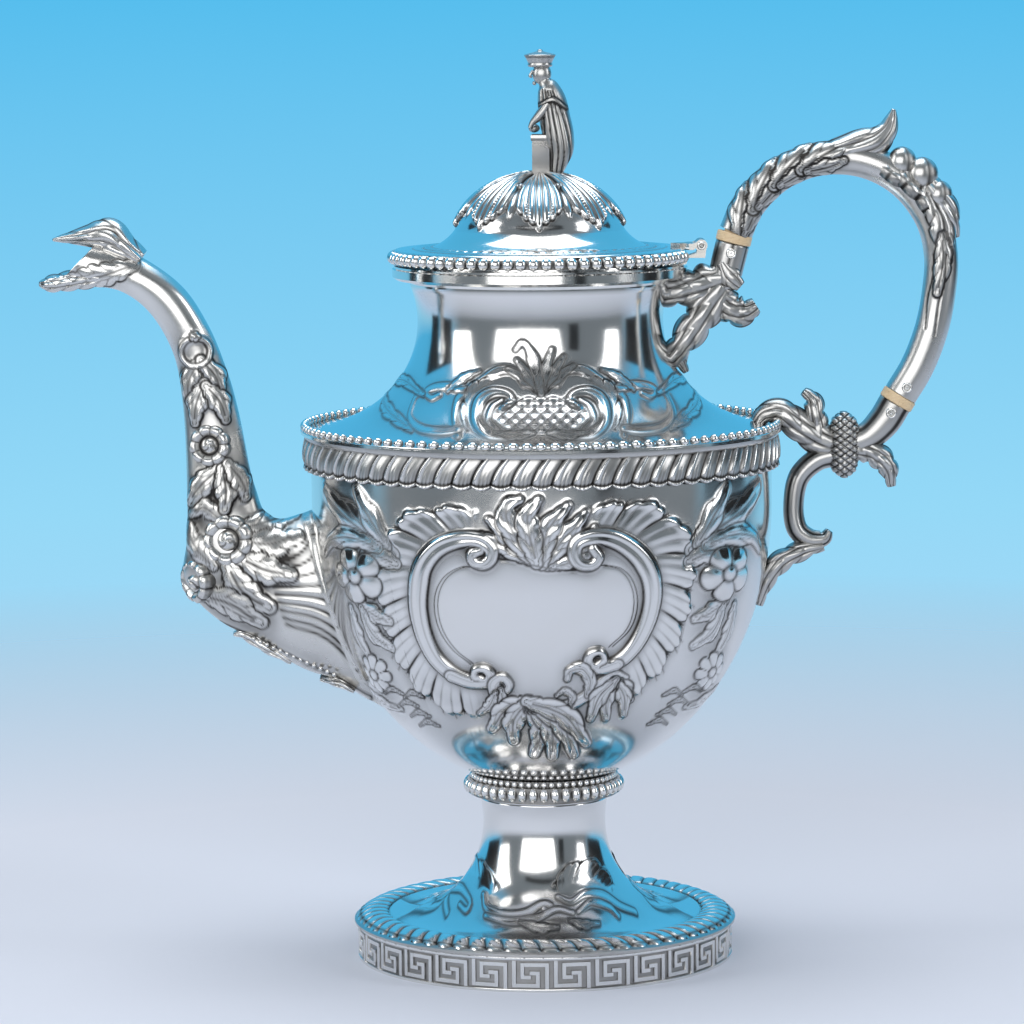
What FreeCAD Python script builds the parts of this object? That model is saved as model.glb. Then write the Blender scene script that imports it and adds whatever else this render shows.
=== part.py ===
import FreeCAD, Part
import math
import os

# A footed silver coffee pot with a hinged lid, a cast spout and a loop handle on two insulators.
# Millimetres, +Z up. The origin is on the table, on the axis of the bowl.
# The spout points along -X, the handle along +X, and the lid's hinge pin runs along Y.

V = FreeCAD.Vector
UP = V(0, 0, 1)
ACROSS = V(0, 1, 0)

# Gauges and clearances
sheet = 1.0                  # raised sheet of the bowl, neck and foot
lid_sheet = 0.9              # raised sheet of the lid
cast_wall = 1.5              # wall of the hollow castings
lid_gap = 0.4                # lid above the mouth rim, and between hinge leaves
knuckle_gap = 0.3            # between neighbouring knuckles
pin_play = 0.05              # radial play of a pin in its hole
tenon_play = 0.1             # radial play of an insulator's tenon in its bore

# Foot
foot_radius = 66.0
key_band_height = 12.0
key_band_wall = 1.4
plateau_radius = 55.5        # where the foot's plain top meets the gadroon ring
plateau_height = 15.4
stem_radius = 21.1           # waist of the trumpet stem
stem_spread = 29.9           # from the waist out to the flat of the plateau
stem_waist_height = 48.0
stem_top = 57.0
foot_gadroon_overhang = 1.0
foot_gadroon_count = 64

# Collar between the stem and the bowl
collar_radius = 28.4
collar_height = 6.4
collar_bead_count = 42

# Bowl
bowl_radius = 80.0
bowl_depth = 99.0
bowl_clearance = 4.0         # bottom of the bowl above the top of the stem
bowl_wall_height = 25.6      # upright wall above the rounded part

# Gadroon band and shoulder
gadroon_height = 12.2
gadroon_depth = 3.2
gadroon_count = 76
gadroon_slant = 24.0
shoulder_overhang = 4.0
shoulder_bead_radius = 1.15
shoulder_bead_count = 132

# Neck and mouth
neck_waist_radius = 42.4
neck_drop = 37.4             # from the waist down to the shoulder
neck_flare = 14.7            # from the waist up to the mouth
mouth_rim_height = 4.8
mouth_rim_width = 6.7

# Lid
lid_plate_radius = 50.6
lid_bead_width = 4.1
lid_bead_reach = 2.3
lid_bead_count = 74
lid_plate_lift = 4.2         # underside of the plate above the mouth rim
dome_radius = 29.5
dome_height = 26.5           # above the underside of the plate
dome_base_drop = 23.2        # vertical half-axis of the dome's ellipse
dome_cove_start = 28.2       # radius where the dome turns out into the cove
dome_cove_end = 41.0
bezel_radius = 43.4
bezel_depth = 8.0

# Hinge
hinge_reach = 56.0           # hinge axis from the pot's axis
hinge_lift = 6.3             # hinge axis above the mouth rim
knuckle_radius = 2.1
hinge_pin_radius = 0.95
knuckle_length = 2.6
knuckle_count = 5
hinge_leaf_thickness = 1.2

# Finial
finial_offset = 1.0          # post's centre, towards the handle
post_width = 6.0
post_height = 13.0
figure_height = 43.0         # top of the hat above the crown of the dome
stud_radius = 1.5
stud_length = 6.0
stud_hole_play = 0.2
washer_radius = 4.0
washer_thickness = 0.8
nut_radius = 3.0
nut_height = 2.4

# Spout: lower line (x, z), upper line (x, z) and half depth, from the bowl's side at its rim line
spout_lines = [
    (30.0, -70.0, 8.0, 2.0, 17.0), (18.5, -69.0, -1.0, -0.5, 18.5), (-3.0, -58.5, -7.0, -3.5, 17.0),
    (-22.0, -46.0, -11.5, -5.5, 15.2), (-39.0, -34.5, -16.5, -3.0, 13.6), (-46.8, -21.0, -19.8, 3.5, 12.4),
    (-44.0, -8.0, -21.5, 11.0, 11.4), (-43.6, 7.0, -23.0, 20.0, 10.6), (-44.6, 22.0, -25.2, 31.0, 9.7),
    (-46.0, 41.0, -28.6, 44.5, 8.7), (-50.4, 59.5, -34.2, 61.0, 7.8), (-58.0, 69.6, -43.5, 74.6, 7.3),
    (-67.5, 75.6, -57.0, 86.4, 7.2), (-77.6, 78.0, -72.0, 91.4, 7.2),
]
strainer_hole_radius = 1.6
strainer_pitch = 5.0
strainer_half_width = 9.0
strainer_half_height = 17.0

# Handle
handle_radius = 5.9
handle_loop_radius = 36.5
handle_loop_reach = 60.6     # centre of the loop from the neck's waist
handle_loop_lift = 4.5       # centre of the loop above the mouth of the neck
handle_start = 166.0         # upper insulator, degrees round the loop
handle_join = -5.3           # where the round of the loop eases into the lower sweep
lower_end_reach = 40.5       # lower insulator from the shoulder's edge
lower_end_lift = 8.8         # lower insulator above the shoulder
insulator_radius = 6.2
insulator_thickness = 3.4
tenon_radius = 3.9           # insulators' tenons, in straight bores
tenon_length = 7.5
socket_length = 14.0
insulator_pin_radius = 0.9
insulator_pin_distance = 5.2

# Heights and radii that follow from the sizes above
bowl_bottom = stem_top + bowl_clearance
bowl_rim = bowl_bottom + bowl_depth
shoulder_z = bowl_rim + bowl_wall_height + sheet
shoulder_radius = bowl_radius + shoulder_overhang
neck_waist_z = shoulder_z + neck_drop
mouth_z = neck_waist_z + neck_flare
rim_top = mouth_z + mouth_rim_height
plate_under = rim_top + lid_plate_lift
plate_top = plate_under + lid_sheet
dome_top = plate_under + dome_height
dome_centre = dome_top - dome_base_drop
hinge_z = rim_top + hinge_lift


def point(x, z, y=0.0):
    return V(x, y, z)


def line(start, end):
    return Part.makeLine(point(*start), point(*end))


def ellipse_arc(centre, semi, start, end):
    """Edge of an upright ellipse in the XZ plane between two angles, counted from +X towards +Z."""
    across, upright = semi
    tall = upright > across
    turn = 90.0 if tall else 0.0
    ellipse = Part.Ellipse(V(0, 0, 0), max(semi), min(semi))
    arc = Part.ArcOfEllipse(ellipse, math.radians(start - turn), math.radians(end - turn))
    edge = arc.toShape()
    if tall:
        axes = FreeCAD.Matrix(0, -1, 0, centre[0], 0, 0, -1, 0, 1, 0, 0, centre[1], 0, 0, 0, 1)
    else:
        axes = FreeCAD.Matrix(1, 0, 0, centre[0], 0, 0, -1, 0, 0, 1, 0, centre[1], 0, 0, 0, 1)
    edge.Placement = FreeCAD.Placement(axes)
    return edge


def ellipse_point(centre, semi, angle):
    turn = math.radians(angle)
    return centre[0] + semi[0] * math.cos(turn), centre[1] + semi[1] * math.sin(turn)


def ellipse_height(centre, semi, x):
    """Half the ellipse's height where it is x from the axis."""
    return semi[1] * math.sqrt(1 - ((x - centre[0]) / semi[0]) ** 2)


def spun(edges):
    """Solid of revolution of a closed outline in the XZ plane."""
    wire = Part.Wire(Part.__sortEdges__(edges))
    return Part.Face(wire).revolve(V(0, 0, 0), UP, 360)


def spun_polygon(corners):
    return spun([line(a, b) for a, b in zip(corners, corners[1:] + corners[:1])])


def rod(start, direction, radius, length):
    return Part.makeCylinder(radius, length, start, direction)


def around(shape, count):
    """Copies of a shape turned evenly about the pot's axis, as one compound."""
    copies = []
    for i in range(count):
        copy = shape.copy()
        copy.rotate(V(0, 0, 0), UP, 360.0 * i / count)
        copies.append(copy)
    return Part.makeCompound(copies)


def section(centre, along, in_plane, depth, y=0.0):
    """Closed oval about a point of the XZ plane, square to a direction in that plane."""
    corners = 8
    side = V(-along.z, 0, along.x)
    ring = []
    for k in range(corners):
        turn = 2 * math.pi * k / corners
        ring.append(point(*centre, y) + side * (in_plane * math.cos(turn))
                    + ACROSS * (depth * math.sin(turn)))
    curve = Part.BSplineCurve()
    curve.interpolate(Points=ring, PeriodicFlag=True)
    return Part.Wire(curve.toShape())


def cast_form(stations, y=0.0):
    """Cast scroll, arm or leaf: ovals lofted along stations of (x, z, half thickness, half depth)."""
    spots = [point(s[0], s[1]) for s in stations]
    wires = []
    for i, (x, z, in_plane, depth) in enumerate(stations):
        along = spots[min(i + 1, len(spots) - 1)] - spots[max(i - 1, 0)]
        wires.append(section((x, z), along.normalize(), in_plane, depth, y))
    return Part.makeLoft(wires, True, False)


def moved(stations, x, z):
    return [(s[0] + x, s[1] + z, *s[2:]) for s in stations]


def ball(x, z, radius, y=0.0):
    return Part.makeSphere(radius, point(x, z, y))


def joined(first, *others):
    whole = first
    for other in others:
        whole = whole.fuse(other)
    return whole


# Foot: key band, gadroon ring, trumpet stem and beaded collar

def key_band():
    inner = foot_radius - key_band_wall
    return spun_polygon([(inner, 0), (foot_radius, 0), (foot_radius, key_band_height),
                         (inner, key_band_height)])


def foot_gadroon_ring():
    outer = foot_radius + foot_gadroon_overhang
    middle = (plateau_radius + outer) / 2
    crown = plateau_height + 0.9
    top = Part.Arc(point(plateau_radius, plateau_height), point(middle, crown),
                   point(outer, key_band_height + 1.2))
    ring = spun([
        top.toShape(),
        line((outer, key_band_height + 1.2), (outer, key_band_height)),
        line((outer, key_band_height), (plateau_radius, key_band_height)),
        line((plateau_radius, key_band_height), (plateau_radius, plateau_height)),
    ])
    groove = rod(point(plateau_radius - 6, crown + 0.6), V(1, 0.7, -0.08), 1.25, 28)
    return ring.cut(around(groove, foot_gadroon_count))


def stem_outline(thickness):
    """Outer or inner line of the foot, from the stem's top out to the flange under the gadroon ring."""
    centre = (stem_radius + stem_spread, stem_waist_height)
    semi = (stem_spread + thickness, stem_waist_height - plateau_height + thickness)
    top = stem_top - stem_waist_height
    top_angle = 180 - math.degrees(math.asin(top / semi[1]))
    return centre, semi, top_angle


def foot_stem():
    step = plateau_radius
    flange = foot_radius - key_band_wall
    shelf = key_band_height
    edges = []
    ends = []
    for thickness in (0.0, sheet):
        centre, semi, top_angle = stem_outline(thickness)
        edges.append(ellipse_arc(centre, semi, top_angle, 270))
        ends.append((ellipse_point(centre, semi, top_angle), ellipse_point(centre, semi, 270)))
    (outer_top, outer_low), (inner_top, inner_low) = ends
    corner = step - sheet
    edges += [
        line(outer_low, (step, plateau_height)),
        line((step, plateau_height), (step, shelf)),
        line((step, shelf), (flange, shelf)),
        line((flange, shelf), (flange, shelf - sheet)),
        line((flange, shelf - sheet), (corner, shelf - sheet)),
        line((corner, shelf - sheet), (corner, plateau_height - sheet)),
        line((corner, plateau_height - sheet), inner_low),
        line(inner_top, outer_top),
    ]
    return spun(edges)


def bead_collar(bowl_outside):
    """Flared ring that carries the bowl, cut to sit against its round bottom."""
    inner = stem_radius - sheet
    outer, base = collar_radius, stem_top
    top = base + collar_height
    seat = inner + 3.0
    ring = spun_polygon([
        (inner, base), (stem_radius + 1.2, base), (outer - 2.2, base + 1.3), (outer - 0.2, base + 3.4),
        (outer, top - 0.6), (outer - 0.6, top), (seat + 1.0, top + 0.2), (seat, bowl_bottom + 6),
        (inner, bowl_bottom + 6),
    ])
    groove = rod(point(outer - 2.4, base), V(0.42, 0, 1), 0.95, collar_height + 2)
    groove.translate(V(1.9, 0, -0.4))
    return ring.cut(around(groove, collar_bead_count)).cut(bowl_outside)


# Body: bowl, gadroon band, neck, shoulder beading and mouth rim

def bowl_outside():
    """The whole space that the bowl's outer face encloses, up to the top of its wall."""
    centre, semi = (0, bowl_rim), (bowl_radius, bowl_depth)
    return spun([
        ellipse_arc(centre, semi, -90, 0),
        line((bowl_radius, bowl_rim), (bowl_radius, shoulder_z)),
        line((bowl_radius, shoulder_z), (0, shoulder_z)),
        line((0, shoulder_z), (0, bowl_bottom)),
    ])


def strainer_holes():
    """Drilled holes behind the spout, in staggered rows inside an oval."""
    holes = []
    row_step = strainer_pitch * math.sqrt(3) / 2
    middle = bowl_rim - bowl_depth * 0.3
    rows = int(strainer_half_height / row_step)
    for row in range(-rows, rows + 1):
        height = row * row_step
        room = strainer_half_width * math.sqrt(1 - (height / (strainer_half_height + strainer_pitch)) ** 2)
        shift = 0.5 * (row % 2)
        reach = int(room / strainer_pitch + 1)
        for column in range(-reach, reach + 1):
            y = (column + shift) * strainer_pitch
            if abs(y) <= room:
                start = point(-bowl_radius * 1.2, middle + height, y)
                holes.append(rod(start, V(1, 0, 0), strainer_hole_radius, bowl_radius * 0.8))
    return Part.makeCompound(holes)


def bowl(neck_above):
    centre = (0, bowl_rim)
    inner = bowl_radius - sheet
    shell = spun([
        ellipse_arc(centre, (bowl_radius, bowl_depth), -90, 0),
        line((bowl_radius, bowl_rim), (bowl_radius, shoulder_z)),
        line((bowl_radius, shoulder_z), (inner, shoulder_z)),
        line((inner, shoulder_z), (inner, bowl_rim)),
        ellipse_arc(centre, (inner, bowl_depth - sheet), -90, 0),
        line((0, bowl_bottom + sheet), (0, bowl_bottom)),
    ])
    return shell.cut(neck_above).cut(strainer_holes())


def gadroon_band():
    top = shoulder_z - sheet
    bottom = top - gadroon_height
    outer = bowl_radius + gadroon_depth
    lip = top - 2.2
    swell = Part.Arc(point(bowl_radius + 0.5, bottom), point(outer, bottom + 0.35 * gadroon_height),
                     point(outer - 1.0, lip))
    ring = spun([
        line((bowl_radius, bottom), (bowl_radius + 0.5, bottom)),
        swell.toShape(),
        line((outer - 1.0, lip), (outer + 0.3, lip + 0.5)),
        line((outer + 0.3, lip + 0.5), (outer + 0.3, top)),
        line((outer + 0.3, top), (bowl_radius, top)),
        line((bowl_radius, top), (bowl_radius, bottom)),
    ])
    lean = math.radians(gadroon_slant)
    height = gadroon_height - 2.6
    groove = rod(point(outer + 0.35, bottom - 0.6), V(0, math.sin(lean), math.cos(lean)), 1.2, height)
    return ring.cut(around(groove, gadroon_count))


def neck_line(thickness):
    """Ellipse of the neck's outer face, or of its inner face when given the sheet's thickness."""
    centre = (shoulder_radius, neck_waist_z)
    semi = (shoulder_radius - neck_waist_radius + thickness, neck_drop + thickness)
    return centre, semi


def neck_solid(thickness):
    """All the space inside the neck's outer or inner face, from the shoulder to the mouth."""
    centre, semi = neck_line(thickness)
    top_angle = 180 - math.degrees(math.asin(neck_flare / semi[1]))
    top = ellipse_point(centre, semi, top_angle)
    low = ellipse_point(centre, semi, 270)
    return spun([
        ellipse_arc(centre, semi, top_angle, 270),
        line(low, (0, low[1])),
        line((0, low[1]), (0, mouth_z)),
        line((0, mouth_z), top),
    ])


def neck():
    """Concave neck and shoulder plate, one raised sheet."""
    edges = []
    ends = []
    for thickness in (0.0, sheet):
        centre, semi = neck_line(thickness)
        top_angle = 180 - math.degrees(math.asin(neck_flare / semi[1]))
        edges.append(ellipse_arc(centre, semi, top_angle, 270))
        ends.append((ellipse_point(centre, semi, top_angle), ellipse_point(centre, semi, 270)))
    (outer_top, outer_low), (inner_top, inner_low) = ends
    return spun(edges + [line(outer_low, inner_low), line(inner_top, outer_top)])


def above_neck_underside():
    """Everything over the underside of the shoulder plate, to trim the top of the bowl's wall."""
    centre, semi = neck_line(sheet)
    low = ellipse_point(centre, semi, 270)
    side = ellipse_point(centre, semi, 180)
    return spun([
        ellipse_arc(centre, semi, 180, 270),
        line(low, (low[0], side[1])),
        line((low[0], side[1]), side),
    ])


def shoulder_bead_wire(neck_space):
    radius = shoulder_bead_radius
    ring_radius = shoulder_radius - radius
    ring = Part.makeTorus(ring_radius, radius, V(0, 0, shoulder_z + 0.8 * radius))
    groove = rod(point(ring_radius - 3 * radius, shoulder_z + 2.05 * radius), V(1, 0, 0), 0.65, 6 * radius)
    plate = rod(V(0, 0, shoulder_z - 2 * radius), UP, shoulder_radius + radius, 2 * radius)
    return ring.cut(around(groove, shoulder_bead_count)).cut(neck_space).cut(plate)


def mouth_inner_radius():
    centre, semi = neck_line(sheet)
    top_angle = 180 - math.degrees(math.asin(neck_flare / semi[1]))
    return ellipse_point(centre, semi, top_angle)[0]


def mouth_rim():
    inner = mouth_inner_radius()
    outer = inner + mouth_rim_width
    groove = rim_top - 1.1
    return spun_polygon([
        (inner, mouth_z), (outer - 1.2, mouth_z), (outer, mouth_z + 1.0), (outer, groove),
        (outer - 0.5, groove + 0.4),
        (outer - 0.5, rim_top), (inner, rim_top),
    ])


# Lid: cover, beading, bezel and finial

def dome_outline(thickness):
    """Centre and half-axes of the dome, the foot of its cove and the cove's middle point."""
    semi = (dome_radius - thickness, dome_base_drop - thickness)
    start = dome_cove_start - thickness
    start_z = dome_centre + ellipse_height((0, 0), semi, start)
    end_z = plate_top + 0.3 - thickness
    end = dome_cove_end - thickness * 0.5
    middle = (start + 0.40 * (end - start), start_z + 0.66 * (end_z - start_z))
    return semi, (start, start_z), middle, (end, end_z)


def lid_outline(thickness, plate_z):
    """Edges from the crown of the dome down the cove and out along the plate."""
    semi, start, middle, end = dome_outline(thickness)
    angle = math.degrees(math.acos(start[0] / semi[0]))
    return [
        ellipse_arc((0, dome_centre), semi, angle, 90),
        Part.Arc(point(*start), point(*middle), point(*end)).toShape(),
        line(end, (lid_plate_radius, plate_z)),
    ]


def lid_space():
    """All the space under the lid's outer face, to seat the finial on the dome."""
    edges = lid_outline(0.0, plate_top)
    return spun(edges + [
        line((lid_plate_radius, plate_top), (lid_plate_radius, plate_under)),
        line((lid_plate_radius, plate_under), (0, plate_under)),
        line((0, plate_under), (0, dome_top)),
    ])


def lid_cover():
    edges = lid_outline(0.0, plate_top) + lid_outline(lid_sheet, plate_under)
    shell = spun(edges + [
        line((lid_plate_radius, plate_top), (lid_plate_radius, plate_under)),
        line((0, dome_top), (0, dome_top - lid_sheet)),
    ])
    hole = rod(point(finial_offset, dome_top - 6), UP, stud_radius + stud_hole_play, 12)
    return shell.cut(hole)


def hinge_width():
    return knuckle_count * knuckle_length


def lid_bead_wire():
    """Beaded ring round the lid's edge, open at the back for the hinge."""
    outer = lid_plate_radius + lid_bead_reach
    inner = outer - lid_bead_width
    base = rim_top + lid_gap
    height = plate_top - base
    ring = spun_polygon([
        (inner, base), (outer - 1.4, base), (outer - 0.2, base + 0.25 * height),
        (outer, base + 0.55 * height),
        (outer - 0.7, plate_top + 0.2), (lid_plate_radius, plate_top + 0.2),
        (lid_plate_radius, plate_under),
        (inner, plate_under),
    ])
    groove = rod(point(outer + 0.35, base - 1), UP, 0.9, height + 3)
    room = hinge_width() / 2 + 2 * knuckle_gap
    notch = Part.makeBox(hinge_reach, 2 * room, 4 * height, V(inner - 2, -room, base - height))
    return ring.cut(around(groove, lid_bead_count)).cut(notch)


def lid_bezel(cover):
    inner = bezel_radius - lid_sheet
    low = plate_under - bezel_depth
    ring = spun_polygon([(inner, low), (bezel_radius - 0.3, low), (bezel_radius, low + 1),
                         (bezel_radius, plate_top),
                         (inner, plate_top)])
    return ring.cut(cover)


def finial(lid_outer):
    """Standing figure in a robe and brimmed hat leaning on a square post, with the stud that holds it."""
    x = finial_offset
    foot = dome_top - 3
    top = dome_top + figure_height
    lean = 0.5 * post_width
    back = x + lean
    post_top = dome_top + post_height
    post = Part.makeBox(post_width, post_width, post_top - foot, V(x - lean, -lean, foot))
    plinth = Part.makeBox(post_width + 1.6, post_width + 1.6, 4.0, V(x - lean - 0.8, -lean - 0.8, foot))
    height = figure_height
    robe = cast_form([
        (back + 2.2, dome_top - 1.5, 2.2, 3.2), (back + 2.6, dome_top + 0.12 * height, 2.6, 3.4),
        (back + 3.4, dome_top + 0.20 * height, 4.2, 4.8), (back + 2.8, dome_top + 0.42 * height, 4.4, 4.6),
        (back + 0.9, dome_top + 0.60 * height, 3.8, 4.6), (back - 1.2, dome_top + 0.73 * height, 3.1, 4.4),
        (back - 2.6, dome_top + 0.80 * height, 1.7, 1.9),
    ])
    head_x = x - 0.2
    head = ball(head_x, top - 0.195 * height, 2.9)
    brim = 0.13 * height
    hat = Part.makeCone(brim * 0.74, brim, 0.055 * height, point(head_x, top - 0.13 * height))
    crown = Part.makeCone(brim, 0.8, 0.06 * height, point(head_x, top - 0.075 * height))
    knob = ball(head_x, top - 0.02 * height, 0.02 * height)
    arms = []
    for side in (-1, 1):
        arms.append(cast_form([
            (back - 0.6, dome_top + 0.70 * height, 1.7, 1.7),
            (back - 1.6, dome_top + 0.52 * height, 1.8, 1.8),
            (x - 1.4, dome_top + 0.37 * height, 1.6, 1.6), (x - 2.8, dome_top + 0.32 * height, 1.1, 1.1),
        ], y=side * 3.4))
    sleeve = cast_form([
        (x - 2.0, dome_top + 0.37 * height, 2.2, 3.6), (x, dome_top + 0.32 * height, 2.4, 4.0),
        (back, dome_top + 0.30 * height, 2.2, 3.6),
    ])
    stud = rod(point(x, dome_top - stud_length), UP, stud_radius, stud_length + 2)
    figure = joined(post, plinth, robe, head, hat, crown, knob, sleeve, *arms).cut(lid_outer)
    return joined(figure, stud)


def washer_top():
    """Height at which the washer's rim meets the inside of the dome."""
    semi = (dome_radius - lid_sheet, dome_base_drop - lid_sheet)
    return dome_centre + ellipse_height((0, 0), semi, finial_offset + washer_radius)


def finial_washer():
    top = washer_top()
    hole = rod(point(finial_offset, top - 5), UP, stud_radius + stud_hole_play, 10)
    return rod(point(finial_offset, top - washer_thickness), UP, washer_radius, washer_thickness).cut(hole)


def finial_nut():
    top = washer_top() - washer_thickness
    corners = 6
    ring = []
    for k in range(corners + 1):
        turn = 2 * math.pi * k / corners
        ring.append(point(finial_offset + nut_radius * math.cos(turn), top - nut_height,
                          nut_radius * math.sin(turn)))
    prism = Part.Face(Part.makePolygon(ring)).extrude(V(0, 0, nut_height))
    return prism.cut(rod(point(finial_offset, top - 5), UP, stud_radius + pin_play, 10))


# Hinge: five knuckles on one pin, three on the lid and two on the body

def knuckles(first):
    """Every second knuckle of the hinge, from the first given, with the pin's hole in each."""
    rings = []
    for k in range(first, knuckle_count, 2):
        start = -hinge_width() / 2 + k * knuckle_length + knuckle_gap / 2
        rings.append(rod(point(hinge_reach, hinge_z, start), ACROSS, knuckle_radius,
                         knuckle_length - knuckle_gap))
    return rings


def hinge_bore(play):
    return rod(point(hinge_reach, hinge_z, -hinge_width()), ACROSS, hinge_pin_radius + play,
               2 * hinge_width())


def across_strap(corners, width, y):
    """Flat outline in the XZ plane drawn out along Y."""
    ring = [point(*c, y) for c in corners + corners[:1]]
    return Part.Face(Part.makePolygon(ring)).extrude(V(0, width, 0))


def lid_hinge_leaf(lid_outer):
    """Leaf-shaped plate on top of the lid, with its knuckles at the edge."""
    tip = hinge_reach - 10.5
    half = hinge_width() / 2
    outline = [V(tip, 0, 0), V(tip + 3.0, 3.6, 0), V(tip + 4.2, 3.0, 0), V(tip + 6.2, half - 0.2, 0),
               V(hinge_reach - 2.4, half - 0.2, 0), V(hinge_reach - 2.4, -half + 0.2, 0),
               V(tip + 6.2, -half + 0.2, 0), V(tip + 4.2, -3.0, 0), V(tip + 3.0, -3.6, 0), V(tip, 0, 0)]
    plate = Part.Face(Part.makePolygon(outline)).extrude(V(0, 0, hinge_leaf_thickness + 1))
    plate.translate(V(0, 0, plate_top - 0.3))
    arms = []
    for k in range(0, knuckle_count, 2):
        start = -half + k * knuckle_length + knuckle_gap / 2
        root = plate_top + 0.2
        arms.append(across_strap(
            [(hinge_reach - 3.4, root), (hinge_reach, hinge_z - 1.0),
             (hinge_reach, hinge_z + knuckle_radius - 0.3),
             (hinge_reach - 3.4, root + 1.5)], knuckle_length - knuckle_gap, start))
    return joined(plate, *arms, *knuckles(0)).cut(hinge_bore(pin_play)).cut(lid_outer)


def body_hinge_leaf():
    """Strap soldered on the mouth rim, stepped up to carry its two knuckles."""
    inner = mouth_inner_radius() + 1.2
    outer = mouth_inner_radius() + mouth_rim_width - 0.6
    foot = across_strap([(inner, rim_top), (outer, rim_top), (outer + 0.8, rim_top + 1.9),
                         (outer + 0.8, rim_top + 2.8),
                         (inner, rim_top + 1.4)], hinge_width() - 1.0, -hinge_width() / 2 + 0.5)
    parts = [foot]
    for k in range(1, knuckle_count, 2):
        start = -hinge_width() / 2 + k * knuckle_length + knuckle_gap / 2
        parts.append(across_strap(
            [(outer - 1.0, rim_top + 1.2), (outer + 0.8, rim_top + 1.9), (hinge_reach + 1.4, rim_top + 1.9),
             (hinge_reach + knuckle_radius - 0.1, hinge_z), (hinge_reach - 1.0, hinge_z),
             (hinge_reach - 1.6, rim_top + 3.6),
             (outer - 1.0, rim_top + 2.2)], knuckle_length - knuckle_gap, start))
    return joined(*parts, *knuckles(1)).cut(hinge_bore(0.0))


def hinge_pin():
    length = hinge_width() - knuckle_gap
    shank = rod(point(hinge_reach, hinge_z, -length / 2), ACROSS, hinge_pin_radius, length)
    near = rod(point(hinge_reach, hinge_z, -length / 2 - 0.6), ACROSS, 1.35, 0.6)
    far = rod(point(hinge_reach, hinge_z, length / 2), ACROSS, 1.35, 0.6)
    return joined(shank, near, far)


# Spout: two hollow cast halves soldered along the middle

def spout_skin(inset, side):
    """Smooth face of one half of the spout, through half ovals between its lower and upper lines."""
    steps = 6
    rows = []
    for low_x, low_z, high_x, high_z, depth in spout_lines:
        low = point(low_x - bowl_radius, bowl_rim + low_z)
        high = point(high_x - bowl_radius, bowl_rim + high_z)
        across = (high - low).normalize() * inset
        middle = (low + high) * 0.5
        reach = (high - low) * 0.5 - across
        row = []
        for k in range(steps + 1):
            turn = math.pi * k / steps
            row.append(middle + reach * math.cos(turn) + ACROSS * (side * (depth - inset) * math.sin(turn)))
        rows.append(row)
    face = Part.BSplineSurface()
    face.interpolate(rows)
    return face


def spout_shell(side):
    """One half of the tube: outer and inner faces closed by the seam and the two ends."""
    outside = spout_skin(0.0, side)
    inside = spout_skin(cast_wall, side)
    faces = [outside.toShape(), inside.toShape()]
    for end in (0, 1):
        faces.append(Part.makeRuledSurface(outside.uIso(end).toShape(), inside.uIso(end).toShape()))
        faces.append(Part.makeRuledSurface(outside.vIso(end).toShape(), inside.vIso(end).toShape()))
    shell = Part.makeShell(faces)
    shell.sewShape()
    solid = Part.Solid(shell)
    if solid.Volume < 0:
        solid.reverse()
    return solid


def spout_lip():
    """Lower lip and the curled leaf over the mouth."""
    low_x, low_z, high_x, high_z = spout_lines[-1][:4]
    x, z = (low_x + high_x) / 2 - bowl_radius, (low_z + high_z) / 2 + bowl_rim
    tongue = cast_form(moved([
        (3.0, -6.0, 1.0, 6.4), (-6.0, -6.2, 1.3, 6.8), (-13.0, -6.6, 1.2, 5.4), (-18.4, -8.4, 0.9, 2.4),
    ], x, z))
    hood = across_strap([
        (x + 9.0, z + 6.2), (x + 4.3, z + 16.0), (x - 5.5, z + 11.4), (x - 14.0, z + 8.3),
        (x - 7.0, z + 4.6), (x, z + 5.9),
    ], 9.0, -4.5)
    return tongue, hood


def rosette(x, z, depth, radius, height, side):
    """Cast flower on one flank of the spout: a domed disc with a raised eye."""
    disc = Part.makeCone(radius, radius * 0.6, height, point(x, z, side * depth), V(0, side, 0))
    eye = Part.makeSphere(radius * 0.42, point(x, z, side * (depth + height)))
    return disc, eye


def spout_half(side, bowl_space):
    reach = 4 * bowl_radius
    flank = Part.makeBox(reach, reach, reach, V(-reach, -reach if side < 0 else 0, 0))
    x, z = -bowl_radius, bowl_rim
    flowers = rosette(x - 30.4, z - 11.4, 11.4, 7.6, 3.4, side) + rosette(
        x - 35.4, z + 22.0, 8.8, 6.2, 2.8, side)
    lips = [form.common(flank) for form in spout_lip()]
    return joined(spout_shell(side), *lips, *flowers).cut(bowl_space)


# Handle: loop, insulators with their tenons, sockets and pins

loop_x = neck_waist_radius + handle_loop_reach
loop_z = mouth_z + handle_loop_lift
lower_x = shoulder_radius + lower_end_reach
lower_z = shoulder_z + lower_end_lift


def loop_point(angle, radius=handle_loop_radius):
    turn = math.radians(angle)
    return point(loop_x + radius * math.cos(turn), loop_z + radius * math.sin(turn))


def lower_sweep():
    """Centre, radius and end angle of the arc from the loop down to the lower insulator."""
    start = loop_point(handle_join)
    turn = math.radians(handle_join)
    outward = V(math.cos(turn), 0, math.sin(turn))
    reach = start - point(lower_x, lower_z)
    radius = reach.dot(reach) / (2 * reach.dot(outward))
    centre = start - outward * radius
    end = math.degrees(math.atan2(lower_z - centre.z, lower_x - centre.x))
    return centre, radius, end


def ring_segment(centre, radius, start, end, tube):
    """Solid round bar bent about a point of the XZ plane, from one angle to another."""
    turn = math.radians(start)
    spot = centre + V(math.cos(turn), 0, math.sin(turn)) * radius
    along = V(-math.sin(turn), 0, math.cos(turn))
    disc = Part.Face(Part.Wire(Part.makeCircle(tube, spot, along)))
    return disc.revolve(centre, V(0, -1, 0), end - start)


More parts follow.
